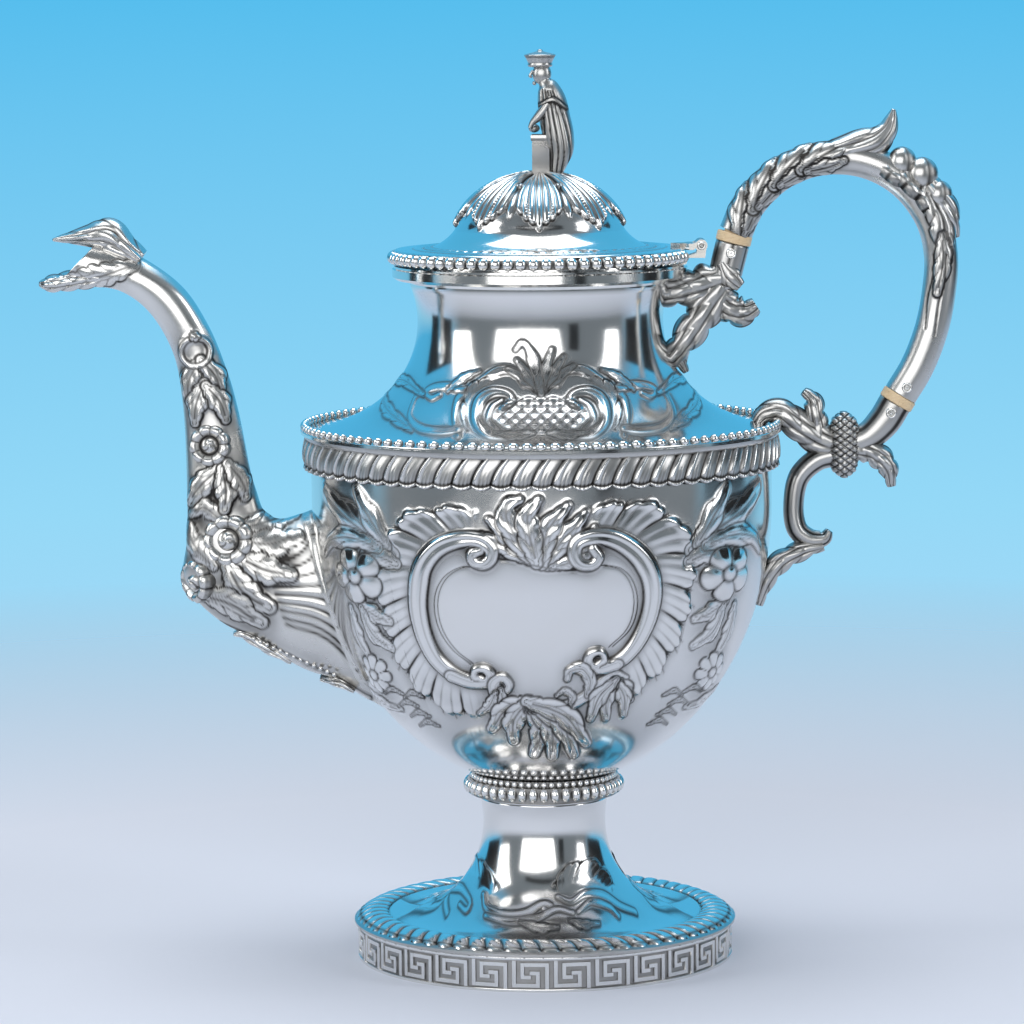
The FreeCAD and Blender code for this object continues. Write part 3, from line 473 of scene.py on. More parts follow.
    def lattice(self, centre, semi, pitch, height):
        """Diaper of crossed lines between raised diamonds, inside an oval."""
        o = self.at - np.asarray(centre, float)
        picked = np.flatnonzero(((o / np.asarray(semi, float)) ** 2).sum(1) < 1)
        x, z = o[picked, 0], 1.35 * o[picked, 1]
        cell = np.minimum(np.abs(np.sin(math.pi * (x + z) / pitch)),
                          np.abs(np.sin(math.pi * (x - z) / pitch)))
        lines = bell(cell, 0.30)
        self.height[picked] += height * (np.sqrt(cell) - 0.5 * lines)
        self.dark[picked] = np.maximum(self.dark[picked], 0.95 * lines)

    def fields(self):
        """Height and patina as grids."""
        return self.height.reshape(self.shape), self.dark.reshape(self.shape)


# Turned pieces with chased skins

FACES = (("front", False), ("back", True))    # the back is the front given half a turn


def turned_points(profile, turns):
    """Grid of points of a turned surface; turns are angles from the front, growing towards the handle."""
    r, z = profile[:, 0][:, None], profile[:, 1][:, None]
    height = np.broadcast_to(z, (len(profile), len(turns)))
    return np.stack([r * np.sin(turns), -r * np.cos(turns), height], -1)


def sink_border(points, normals):
    """Presses the top and the bottom of a skin into the solid under it."""
    points[[0, -1]] -= normals[[0, -1]] * (TUCK + SKIN_LIFT)


def chased_skin(name, profile, turns, draw, half_turn, strength=1.0):
    """Skin of a turned piece of the pot with ornament drawn on its map of girth and height."""
    base = turned_points(profile, turns)
    normals = grid_normals(base)
    relief = Relief(profile[:, 0][:, None] * turns[None], base[..., 2])
    draw(relief)
    height, dark = relief.fields()
    height = np.maximum(box_blur(height * strength, 1), -DEEPEST)
    patina = clamped(dark + hollow_shade(height, 6, 0.9))
    points = base + normals * (height + SKIN_LIFT)[..., None]
    sink_border(points, normals)
    if half_turn:
        points[..., :2] *= -1
    belongs(grid_object(name, points, CHASED, patina), "pot")


def dense_turns(middle, reach, fine, coarse):
    """Angles over half a turn, close together near the front and wider apart at the sides."""
    inner = np.linspace(-middle, middle, fine)
    side = np.linspace(middle, reach, coarse)[1:]
    return np.radians(np.concatenate([-side[::-1], inner, side]))


def bowl_radius_at(z):
    """Radius of the bowl, a half ellipse, at a height."""
    drop = clamped((BOWL_RIM - z) / BOWL_DEPTH)
    return BOWL_RADIUS * np.sqrt(1 - drop ** 2)


def on_turned(radius_at):
    """Turns (x, z) points of the front elevation into points of a piece's girth map."""
    def place(points):
        out = []
        for x, z in points:
            r = float(radius_at(z))
            out.append((r * math.asin(max(-0.999, min(0.999, x / r))), z))
        return out
    return place


def bowl_ornament(relief):
    """Blank field in two scrolls with a shell border, a leaf crest, and flowers at both sides."""
    at = on_turned(bowl_radius_at)
    # frilled shell border outside the two big scrolls
    relief.frill(at([(-21, 157), (-29, 157), (-37, 152.5), (-41.5, 144), (-41.5, 133), (-39, 121.5),
                     (-34.5, 113), (-28, 107), (-19, 104)]), -1, 1.5,
                 (9, 11, 16, 20, 17, 16, 15, 13, 11), 27, 1.5)
    relief.frill(at([(14, 158), (22, 158), (30, 155.5), (35.5, 149), (37, 140), (36, 130), (32.5, 121),
                     (27, 114), (20, 108)]), 1, 1.5, (9, 11, 15, 18, 16, 15, 14, 13, 12), 26, 1.5)
    # leaf crest over the blank field
    for line, width in (([(-5, 150), (-12, 154.5), (-19.5, 158)], 3.2),
                        ([(-4, 150.5), (-10, 157), (-17, 163)], 3.4),
                        ([(3, 148.2), (9, 152), (14.5, 156), (17, 160)], 3.2),
                        ([(2, 148.6), (5.4, 155), (10, 160), (14, 165)], 3.6),
                        ([(4, 147.6), (10, 149.4), (16, 151.6)], 2.4),
                        ([(0, 149), (1, 157), (4, 163), (8, 167.5)], 3.8),
                        ([(-4, 150.5), (-8, 157), (-11.4, 163.6), (-11, 168.6), (-8, 170)], 4.0),
                        ([(-2, 149.5), (-4, 158), (-4.6, 165), (-1.6, 169.6)], 4.0)):
        relief.frond(at(line), 1.2 * width, 2.0, lobes=3, tip=0.35)
    relief.groove(at([(-17, 150.5), (-9, 149.6), (0, 147.6), (9, 146.4), (15, 146.8)]), 0.5, 0.25)
    # the two big scrolls with their volutes
    left_top = at([(-28, 156.3), (-21, 156.6), (-17, 154), (-16.8, 150.6), (-19.2, 148.4),
                   (-22.6, 149.2), (-23.2, 151.8), (-21.2, 152.6)])
    left = at([(-19, 107), (-24, 107.2), (-30, 109.5), (-35.6, 114.6), (-39.2, 121.6), (-41.2, 130),
               (-41.4, 138), (-39.8, 146.5), (-35, 153)]) + left_top
    left_foot = at([(-30, 108.8), (-24, 106.8), (-18.6, 107.4), (-17.4, 110), (-19.4, 112),
                    (-22.4, 111.6), (-22.8, 109.4), (-21, 108.8)])
    relief.ridge(left, (2.4, 3.9, 1.7), 2.3)
    relief.ridge(left_foot, (2.4, 2.0, 1.1), 2.2)
    right_top = at([(22, 157), (16, 157.4), (11.6, 155.6), (10.6, 151.6), (12.6, 148.4), (16.4, 148),
                    (18.6, 150.4), (17.2, 152.8)])
    right = at([(18, 111.8), (24, 113.3), (29.6, 118), (34, 125.5), (36.4, 134), (36.2, 142),
                (33.2, 148.8), (28, 154)]) + right_top
    right_foot = at([(24, 113), (18.6, 111.6), (15.2, 113.6), (15.8, 117), (19, 117.8), (20.4, 115.4),
                     (18.6, 114)])
    relief.ridge(right, (2.2, 3.8, 1.7), 2.3)
    relief.ridge(right_foot, (2.2, 1.8, 1.0), 2.1)
    # double line inside the scrolls
    for shift in (0.0, 1.2):
        relief.groove(at([(-20 - shift, 147.4), (-26 - shift, 147), (-31.4 - shift, 143.6),
                          (-34.4 - shift, 138), (-34.9 - shift, 131), (-33 - shift, 124),
                          (-29 - shift, 118), (-23.5 - shift, 113.5)]), 0.3, 0.12)
        relief.groove(at([(20 + shift, 147.6), (25 + shift, 146.2), (28.6 + shift, 142.4),
                          (30.4 + shift, 136.5), (30 + shift, 130), (27.6 + shift, 124.4),
                          (22.6 + shift, 119.6)]), 0.3, 0.12)
    # scrolls and leaves under the blank field
    relief.ridge(at([(-16, 96), (-16.5, 102), (-16.4, 107), (-13.4, 109), (-11.2, 106.4),
                     (-12.6, 103.8), (-14.4, 105.4)]), (1.2, 2.0, 1.0), 1.7)
    relief.frond(at([(-14, 104), (-13, 99), (-10.6, 95.4), (-11.4, 93)]), 2.8, 1.5)
    relief.frond(at([(-16, 103), (-18, 98.4), (-21, 95.6)]), 2.4, 1.4)
    relief.ridge(at([(-10, 100.6), (-2, 99.6), (6, 98.2), (13, 101), (18.6, 106.4), (24, 109.6),
                     (27, 108.4)]), (1.0, 2.2, 1.2), 1.6)
    relief.frond(at([(15, 103), (15.6, 108), (13, 112), (9, 111.6), (8.2, 109)]), 2.8, 1.6)
    relief.frond(at([(9, 99), (9.6, 102), (7, 104), (5, 102.6)]), 1.7, 1.2)
    relief.fan(at([(24, 107)])[0], at([(29, 100), (27, 94.5), (21, 93.5), (16, 93.6)]), 3.4, 1.3, lobes=2)
    relief.fan(at([(-5, 100)])[0], at([(-17, 90), (-10, 85.5), (-3, 80), (3, 79), (10, 79.6),
                                       (14, 84)]), 4.5, 1.7, bow=0.16, lobes=3)
    # leaf sprays and flowers towards the spout and the handle
    for side, lift in ((-1, 0), (1, 1)):
        for line, width in (([(50, 150 + lift), (58, 155.5 + lift), (66, 161), (73.5, 168)], 6.4),
                            ([(52, 153), (57.6, 162), (62, 170)], 4.8),
                            ([(49, 147), (56, 149), (60.6, 145), (58.6, 140)], 4.6),
                            ([(55, 152), (64, 154), (71, 152), (74, 147)], 4.4),
                            ([(62, 131), (56, 128), (51.4, 126.6)], 3.8),
                            ([(61, 129), (57.6, 121.6), (51, 117)], 4.0),
                            ([(65, 128), (63, 120), (59.4, 113)], 4.2),
                            ([(60, 97), (54, 93.6), (48.6, 93)], 2.6)):
            relief.frond(at(mirrored(line, side)), width, 1.25, lobes=2)
        relief.flower(at([(side * 62.5, 141)])[0], 10.0, 1.4, petals=5, turn=0.5, squeeze=1.45)
        relief.flower(at([(side * 57, 105.5)])[0], 7.6, 1.2, petals=8, squeeze=1.3)
        for x, z in ((53, 99), (48, 95), (44, 91.5), (41, 88), (46, 99)):
            sprig = [(x - 5, z + 0.5), (x - 1.5, z + 1.6), (x + 1, z - 0.6)]
            relief.frond(at(mirrored(sprig, side)), 1.2, 0.5, lobes=2)


def bowl_skins():
    """Front and back of the bowl, each a fine middle sector and two plainer ones beside it."""
    seam, end = math.radians(40), math.radians(90)
    plain_below, top = 78, BAND_BOTTOM + 2.0
    sectors = [
        ("middle", np.linspace(-seam, seam, 322), 296),
        ("left", np.linspace(-end, -seam, 130), 190),
        ("right", np.linspace(seam, end, 130), 190),
    ]
    for face, half_turn in FACES:
        for sector, turns, count in sectors:
            z = np.concatenate([np.linspace(BOWL_BOTTOM + 4.2, plain_below, count // 9),
                                np.linspace(plain_below, top, count - count // 9)[1:]])
            profile = np.column_stack([bowl_radius_at(z), z])
            chased_skin(f"bowl_{face}_{sector}", profile, turns, bowl_ornament, half_turn)


def neck_radius_at(z):
    """Radius of the neck, a hollow quarter ellipse, at a height."""
    waist_z = SHOULDER_Z + NECK_DROP
    spread = SHOULDER_RADIUS - NECK_WAIST_RADIUS
    return SHOULDER_RADIUS - spread * np.sqrt(clamped(1 - ((waist_z - z) / NECK_DROP) ** 2))


def neck_ornament(relief):
    """Scrolls and leaves about a lattice, under a crest of six fronds."""
    at = on_turned(neck_radius_at)
    for side in (-1, 1):
        relief.frond(at(mirrored([(44, 190.6), (50, 193.4), (54, 197), (60, 199)], side)), 2.2, 0.9,
                     lobes=4)
        relief.ridge(at(mirrored([(28, 190), (29, 195), (28, 200), (25, 203), (31, 204), (36, 203.4),
                                  (39, 201.6), (37, 200), (34.6, 201)], side)), (1.0, 1.6, 0.9), 1.1)
        relief.ridge(at(mirrored([(28, 191), (34, 190.4), (41, 191), (44.5, 194), (43, 199),
                                  (41, 201.4)], side)), (1.0, 1.3, 0.9), 0.9)
        relief.frond(at(mirrored([(40, 201), (46, 204), (52, 203), (55, 200)], side)), 2.2, 0.9, lobes=3)
        relief.frond(at(mirrored([(31, 203), (26, 207), (21, 209.4)], side)), 1.9, 1.0, lobes=4)
        relief.ridge(at(mirrored([(6, 206), (8.6, 209.6), (13.6, 210), (18.6, 207), (24, 203.6),
                                  (28, 203)], side)), (1.2, 1.8, 0.9), 1.4)
        relief.ridge(at(mirrored([(12, 189.6), (18, 190.4), (21.6, 194), (20.4, 199.6), (16.4, 202.6),
                                  (11.4, 202.4), (9.4, 199.8), (11.6, 198.6)], side)), (1.2, 2.3, 1.0),
                     1.5)
        relief.ridge(at(mirrored([(15, 191.6), (17.6, 194), (16.4, 198), (13.6, 200)], side)),
                     (0.8, 1.1, 0.7), 0.8)
        relief.frill(at(mirrored([(22, 191), (23.4, 196), (21, 202), (15.5, 205)], side)), -side, 1.4,
                     (3, 4.5, 4.5, 3), 9, 0.8)
        relief.frond(at(mirrored([(3, 190.4), (9, 189.8), (15, 190.2)], side)), 1.5, 0.7)
    relief.lattice((0, 196), (15.5, 5.6), 4.3, 0.7)
    for line in ([(0, 203), (-5, 207), (-10.4, 210)],
                 [(0, 203), (5, 207.4), (10.6, 211)],
                 [(0, 203), (-4, 208.4), (-7.6, 213)],
                 [(0, 203), (4, 209), (7.4, 214)],
                 [(0, 203), (1.6, 210), (3.6, 216.6)],
                 [(0, 203), (-1.4, 210), (-3.4, 216.4), (-6, 219.4), (-8, 217.6)]):
        relief.frond(line, 2.3, 1.0, lobes=2)


def neck_skins():
    """Front and back of the neck, finest where the ornament is."""
    flat_top, plain_above = SHOULDER_Z + 4, 221
    z = np.concatenate([np.linspace(SHOULDER_Z + 0.35, flat_top, 22),
                        np.linspace(flat_top, plain_above, 108)[1:],
                        np.linspace(plain_above, MOUTH_Z - 0.4, 12)[1:]])
    profile = np.column_stack([neck_radius_at(z), z])
    profile[:, 0] = np.minimum(profile[:, 0], SHOULDER_RADIUS - 2.2)
    turns = dense_turns(66, 90, 300, 24)
    for face, half_turn in FACES:
        chased_skin(f"neck_{face}_chasing", profile, turns, neck_ornament, half_turn, strength=0.65)


def stem_radius_at(z):
    """Radius of the foot's stem, a hollow quarter ellipse, at a height."""
    centre = STEM_WAIST_RADIUS + STEM_SPREAD
    half = STEM_WAIST_Z - PLATEAU_Z
    return centre - STEM_SPREAD * np.sqrt(clamped(1 - ((STEM_WAIST_Z - z) / half) ** 2))


def stem_ornament(relief):
    """Shells and scrolls round the root of the stem."""
    at = on_turned(stem_radius_at)
    relief.frill(at([(5, 25), (9, 29), (14, 30), (19, 27.4), (24, 23)]), 1, 0.5, (4, 6, 7, 6, 4), 11, 1.0)
    relief.ridge(at([(5, 25), (9, 23.6), (14, 25.6), (20, 24.4), (26, 20.6), (31, 18.4)]),
                 (0.9, 1.5, 0.9), 1.1)
    relief.ridge(at([(12, 21), (16, 23), (22, 21), (25, 18.6)]), (0.8, 1.2, 0.8), 0.9)
    relief.ridge(at([(-21, 24), (-20, 21), (-14, 19.8), (-7, 20.4), (-1, 23.2), (2, 22.6), (1.4, 21),
                     (0, 21.6)]), (1.0, 1.5, 0.8), 1.1)
    relief.ridge(at([(-20, 19), (-12, 18.2), (-3, 19.2), (4, 21.6), (9, 20.6)]), (0.8, 1.2, 0.8), 0.9)
    relief.frill(at([(-18, 24), (-21, 28), (-26, 29), (-30, 25.6)]), -1, 0.5, (4, 6, 6, 4), 9, 1.0)
    relief.ridge(at([(-34, 18), (-33, 22), (-29, 24.4), (-26, 22.4), (-27, 19.6), (-29.4, 20.4)]),
                 (0.9, 1.4, 0.8), 1.1)
    relief.frond(at([(9, 18.4), (13, 17.4), (18, 17.2)]), 1.4, 0.7)
    relief.frond(at([(-8, 18), (-2, 17), (4, 17)]), 1.4, 0.7)
    for side in (-1, 1):
        relief.ridge(at(mirrored([(34, 22), (37, 18.6), (41, 17.2), (45, 16.4)], side)),
                     (0.9, 1.4, 0.8), 0.9)
        relief.frond(at(mirrored([(36, 24), (39, 20.6), (43, 19)], side)), 1.8, 0.8, lobes=3)


def stem_skins():
    """Front and back of the stem with the plateau of the foot."""
    low = np.linspace(PLATEAU_RADIUS - 0.2, STEM_WAIST_RADIUS + STEM_SPREAD, 8)
    z = PLATEAU_Z + (STEM_TOP - 0.4 - PLATEAU_Z) * np.linspace(0, 1, 150) ** 1.7
    profile = np.vstack([np.column_stack([low, np.full(8, PLATEAU_Z)])[:-1],
                         np.column_stack([stem_radius_at(z), z])])
    turns = dense_turns(70, 90, 220, 20)
    for face, half_turn in FACES:
        chased_skin(f"stem_{face}_chasing", profile, turns, stem_ornament, half_turn, strength=0.45)


def dome_shells(theta, along, radius):
    """Height and patina of the fluted shells on the lid's dome; along runs from the crown outwards."""
    local = (theta * DOME_SHELLS / (2 * math.pi)) % 1.0 - 0.5
    spread = 0.46 * clamped(0.60 + 0.40 * np.sin(clamped(along / 30) * math.pi * 0.75))
    a = local / spread
    ribs = np.abs(np.cos(3.5 * math.pi * a))
    scallop = 33.5 - 6.5 * np.abs(a) ** 2 + ribs + 1.8 * bell(a, 0.12)
    inside = (np.abs(a) < 1) & (along < scallop)
    edge_gap = np.minimum((1 - np.abs(a)) * radius * 0.33, scallop - along)
    rise = clamped(edge_gap / 1.2) ** 0.5
    string = 0.5 + 0.5 * np.cos(2 * math.pi * along / 1.15)
    pearls = (np.abs(np.abs(a) - 0.43) < 0.07) * (along > 11) * string
    height = np.where(inside, rise * (0.7 + 0.9 * ribs) + 0.25 * pearls, 0)
    flutes = 0.85 * bell(ribs, 0.25) * clamped(along / 8)
    dark = np.where(inside, flutes + 0.5 * (0.5 - pearls) * (pearls > 0), 0)
    outline = bell(edge_gap, 0.45)
    dark = clamped(dark + 0.9 * outline)
    between = (0.5 - np.abs(local)) * 2 * math.pi / DOME_SHELLS * radius
    berry = np.hypot(between, along - 16.5)
    height = np.maximum(height, 1.3 * np.sqrt(clamped(1 - (berry / 1.5) ** 2)))
    dark = np.maximum(dark, 0.8 * bell(berry - 1.6, 0.35))
    leaf = np.hypot(between / 1.6, (along - 25.5) / 6.0)
    height = np.maximum(height, 0.9 * np.sqrt(clamped(1 - leaf ** 2)))
    dark = np.maximum(dark, 0.6 * bell(leaf - 1.05, 0.14))
    ring = along - (np.max(along) - 11.5)
    rope = bell(ring, 0.9)
    height += rope * (0.45 + 0.25 * np.cos(theta * 60 + 1.5 * ring))
    dark = np.maximum(dark, 0.7 * bell(np.abs(ring) - 1.5, 0.35))
    step = bell(ring - 4.2, 0.6)
    return height + 0.5 * step, np.maximum(dark, 0.5 * bell(ring - 5.2, 0.3))


def lid_skin():
    """Outer face of the lid: dome, cove and plate, with its shells and rings."""
    centre = LID_TOP - DOME_HALF_HEIGHT
    r_dome = DOME_COVE * np.sin(np.linspace(0.05, math.pi / 2, 120))
    dome = np.column_stack([r_dome, centre + DOME_HALF_HEIGHT * np.sqrt(1 - (r_dome / DOME_RADIUS) ** 2)])
    t = np.linspace(0, 1, 40)[1:, None]
    start, end = dome[-1], np.array([COVE_END, PLATE_TOP + 0.3])
    bend = np.array([start[0] + 0.22 * (end[0] - start[0]), end[1] + 0.6])
    cove = start * (1 - t) ** 2 + 2 * bend * t * (1 - t) + end * t ** 2
    plate = np.column_stack([np.linspace(COVE_END, LID_PLATE_RADIUS - 0.2, 30)[1:],
                             np.linspace(PLATE_TOP + 0.3, PLATE_TOP, 30)[1:]])
    profile = np.vstack([dome, cove, plate])[::-1]
    turns = even_turns(480)
    base = turned_points(profile, turns)
    normals = grid_normals(base, True)
    steps = np.linalg.norm(np.diff(profile[::-1], axis=0), axis=1)
    along = np.concatenate([[0], np.cumsum(steps)])[::-1] + r_dome[0]
    height, dark = dome_shells(turns[None] + math.pi / DOME_SHELLS, along[:, None], profile[:, 0][:, None])
    patina = clamped(dark + hollow_shade(height, 5, 0.7))
    points = base + normals * (height + SKIN_LIFT)[..., None]
    points[0] -= normals[0] * (TUCK + SKIN_LIFT)
    rows, columns = points.shape[:2]
    crown = np.array([[0, 0, LID_TOP + SKIN_LIFT]])
    last = (rows - 1) * columns
    cap = [[last + c, last + (c + 1) % columns, rows * columns] for c in range(columns)]
    faces = list(grid_faces(rows, columns, True)) + cap
    made = mesh_object("lid_chasing", np.vstack([points.reshape(-1, 3), crown]), faces, CHASED,
                       np.append(patina.ravel(), 0.6))
    belongs(made, "lid")


# Rings of repeated units

def ring_tree():
    """Geometry Nodes that turn one unit into an even ring about the pot's axis."""
    tree = bpy.data.node_groups.new("even_ring", "GeometryNodeTree")
    face = tree.interface
    face.new_socket("Unit", in_out="INPUT", socket_type="NodeSocketGeometry")
    face.new_socket("Count", in_out="INPUT", socket_type="NodeSocketInt")
    face.new_socket("Finish", in_out="INPUT", socket_type="NodeSocketMaterial")
    face.new_socket("Ring", in_out="OUTPUT", socket_type="NodeSocketGeometry")
    start = tree.nodes.new("NodeGroupInput")
    spots = tree.nodes.new("GeometryNodePoints")
    index = tree.nodes.new("GeometryNodeInputIndex")
    share = tree.nodes.new("ShaderNodeMath")
    share.operation = "DIVIDE"
    angle = tree.nodes.new("ShaderNodeMath")
    angle.operation = "MULTIPLY"
    angle.inputs[1].default_value = 2 * math.pi
    turn = tree.nodes.new("ShaderNodeCombineXYZ")
    copies = tree.nodes.new("GeometryNodeInstanceOnPoints")
    real = tree.nodes.new("GeometryNodeRealizeInstances")
    finish = tree.nodes.new("GeometryNodeSetMaterial")
    end = tree.nodes.new("NodeGroupOutput")
    links = tree.links
    links.new(start.outputs["Count"], spots.inputs["Count"])
    links.new(index.outputs[0], share.inputs[0])
    links.new(start.outputs["Count"], share.inputs[1])
    links.new(share.outputs[0], angle.inputs[0])
    links.new(angle.outputs[0], turn.inputs["Z"])
    links.new(spots.outputs[0], copies.inputs["Points"])
    links.new(start.outputs["Unit"], copies.inputs["Instance"])
    links.new(turn.outputs[0], copies.inputs["Rotation"])
    links.new(copies.outputs[0], real.inputs[0])
    links.new(real.outputs[0], finish.inputs["Geometry"])
    links.new(start.outputs["Finish"], finish.inputs["Material"])
    links.new(finish.outputs[0], end.inputs["Ring"])
    return tree


RING = ring_tree()


def ring_of(unit, count, body, replaced=()):
    """Plain mesh of a unit repeated round the pot, in the unit object's own name."""
    name = unit.name
    material = unit.data.materials[0]
    ring = unit.modifiers.new("ring", "NODES")
    ring.node_group = RING
    sockets = {s.name: s.identifier for s in RING.interface.items_tree if s.in_out == "INPUT"}
    ring[sockets["Count"]] = count
    ring[sockets["Finish"]] = material
    seen = unit.evaluated_get(bpy.context.evaluated_depsgraph_get())
    mesh = bpy.data.meshes.new_from_object(seen)
    unit.modifiers.remove(ring)
    old = unit.data
    unit.data = mesh
    bpy.data.meshes.remove(old)
    mesh.name = name
    belongs(unit, body, replaced)
    return unit


def bead(name, centre, semi):
    """Pearl at the right of the pot, dark at its poles and where it meets its neighbours."""
    rings, around = 7, 10
    lat = np.linspace(-math.pi / 2 * 0.96, math.pi / 2 * 0.96, rings)[:, None]
    lon = even_turns(around)[None]
    x, y = np.cos(lat) * np.cos(lon), np.cos(lat) * np.sin(lon)
    z = np.broadcast_to(np.sin(lat), (rings, around))
    points = np.stack([x * semi[0] + centre[0], y * semi[1], z * semi[2] + centre[1]], -1)
    patina = clamped(np.abs(y) * 1.5 - 0.75) + 0.5 * (np.abs(np.sin(lat)) > 0.9)
    faces = [list(f) for f in grid_faces(rings, around, True)]
    faces.append(list(range(around))[::-1])
    faces.append([(rings - 1) * around + k for k in range(around)])
    return mesh_object(name, points.reshape(-1, 3), faces, TRIM, clamped(patina).ravel())


def drop_at_hinge(ring):
    """Takes away the beads that would stand where the hinge is."""
    half_width = 8.0
    mesh = bmesh.new()
    mesh.from_mesh(ring.data)
    gone = [v for v in mesh.verts if v.co.x > 0 and abs(v.co.y) < half_width * MM]
    loose = set()
    for vertex in gone:
        loose.update(linked_verts(vertex, loose))
    bmesh.ops.delete(mesh, geom=list(loose), context="VERTS")
    mesh.to_mesh(ring.data)
    mesh.free()


def linked_verts(start, known):
    """Every vertex of the bead that a vertex belongs to, unless the bead is known already."""
    if start in known:
        return set()
    found, open_ends = {start}, [start]
    while open_ends:
        for edge in open_ends.pop().link_edges:
            for vertex in edge.verts:
                if vertex not in found:
                    found.add(vertex)
                    open_ends.append(vertex)
    return found


def bead_rings():
    """Beads round the lid, the shoulder and the collar, with the beds that they sit on."""
    lid_low, lid_high = node_box("lid_bead_wire")
    middle = (lid_low[2] + lid_high[2]) / 2
    lid_beads = ring_of(bead("lid_beads", (LID_PLATE_RADIUS + 0.2, middle), (2.4, 2.15, 2.25)),
                        LID_BEADS, "lid", ["lid_bead_wire"])
    drop_at_hinge(lid_beads)
    bed = LID_PLATE_RADIUS - 0.1
    turned_ring("lid_bead_bed", [
        (bed - 1.4, lid_low[2] + 0.6), (bed, lid_low[2] + 0.6), (bed, lid_high[2] - 0.3),
        (bed - 1.4, lid_high[2] - 0.3),
    ], TRIM, "lid", patina=0.85)
    ring_of(bead("shoulder_beads", (SHOULDER_RADIUS - 1.4, SHOULDER_Z + 1.3), (1.5, 1.95, 1.5)),
            SHOULDER_BEADS, "pot", ["shoulder_bead_wire"])
    low, high = node_box("stem_bead_collar")
    rim, middle = high[0], (low[2] + high[2]) / 2
    ring_of(bead("collar_beads", (rim - 2.2, middle - 0.6), (2.2, 1.75, 2.6)), COLLAR_BEADS, "pot",
            ["stem_bead_collar"])
    ring_of(bead("collar_upper_beads", (rim - 3.6, high[2] - 1.4), (1.3, 1.2, 1.2)), COLLAR_UPPER_BEADS,
            "pot")
    turned_ring("collar_bed", [
        (rim - 9.0, low[2]), (rim - 4.2, low[2]), (rim - 2.2, low[2] + 0.7), (rim - 2.2, high[2] - 2.6),
        (rim - 3.8, high[2] - 2.2), (rim - 3.8, high[2] - 0.4), (rim - 9.0, high[2]),
    ], TRIM, "pot", patina=0.7)


def turned_ring(name, profile, material, body, patina, replaced=(), segments=240):
    """Closed ring turned from an outline that runs up the outside and down the inside."""
    outline = np.asarray(profile, float)
    turns = even_turns(segments)
    rows = len(outline)
    points = turned_points(outline, turns)
    shade = np.broadcast_to(np.broadcast_to(patina, rows)[:, None], (rows, segments))
    faces = grid_faces(rows + 1, segments, True) % (rows * segments)
    made = mesh_object(name, points.reshape(-1, 3), faces, material, shade.ravel())
    made.data.set_sharp_from_angle(angle=math.radians(40))
    belongs(made, body, replaced)


def shoulder_gadroon():
    """Shoulder band of leaning lobes: each has a bright ridge, fine lines below and a scalloped rim."""
    count = SHOULDER_GADROONS
    half = math.pi * (BOWL_RADIUS + 2.4) / count
    a = np.linspace(0, 1, 26)[:, None]
    b = np.linspace(-1, 1, 25)[None]
    low, high = BAND_BOTTOM - 0.5, BAND_TOP - 1.6
    z = low + (high - low) * a + 1.5 * b ** 2 * clamped(1 - 3.0 * a)
    lean = 4.6 * clamped((a - 0.15) / 0.85) ** 1.7
    swell = BOWL_RADIUS + 0.3 + 2.0 * np.sin(math.pi * clamped(0.20 + 0.66 * a)) ** 0.8
    comma = bell(b + 0.62, 0.20) * clamped((a - 0.12) * 5)
    lower = clamped(1 - 1.5 * a)
    lines = np.cos(5 * math.pi * b)
    rim = bell(a - 0.06, 0.04)
    r = swell + 0.75 * np.sqrt(1 - b ** 2) + 0.75 * comma
    r = r + 0.16 * lines * lower + 0.7 * rim - 0.9 * (a == 0)
    y = b * half * 1.01 + lean
    points = np.stack([r * np.cos(y / r), r * np.sin(y / r), np.broadcast_to(z, r.shape)], -1)
    dark = 0.40 + 0.7 * np.abs(b) ** 6 - 0.45 * comma + 0.45 * clamped(-lines) * lower
    dark = dark + 0.9 * bell(a - 0.15, 0.045) - 0.7 * rim
    dark = clamped(dark + bell(a, 0.02) + 0.5 * bell(a - 1, 0.08))
    unit = grid_object("shoulder_gadroons", points, TRIM, dark)
    ring_of(unit, count, "pot", ["gadroon_band"])
    outer = BOWL_RADIUS + 2.6
    turned_ring("shoulder_moulding", [
        (BOWL_RADIUS - 0.3, BAND_TOP - 2.4), (outer - 0.6, BAND_TOP - 2.2),
        (outer + 0.1, BAND_TOP - 1.4), (outer + 0.3, BAND_TOP - 0.2), (SHOULDER_RADIUS - 0.5, BAND_TOP),
        (SHOULDER_RADIUS, BAND_TOP + 0.5), (SHOULDER_RADIUS - 0.4, SHOULDER_Z + 0.25),
        (BOWL_RADIUS - 0.3, SHOULDER_Z + 0.2),
    ], PLAIN, "pot", patina=np.array([0.6, 0.6, 0.35, 0.5, 0.1, 0.0, 0.1, 0.3]))


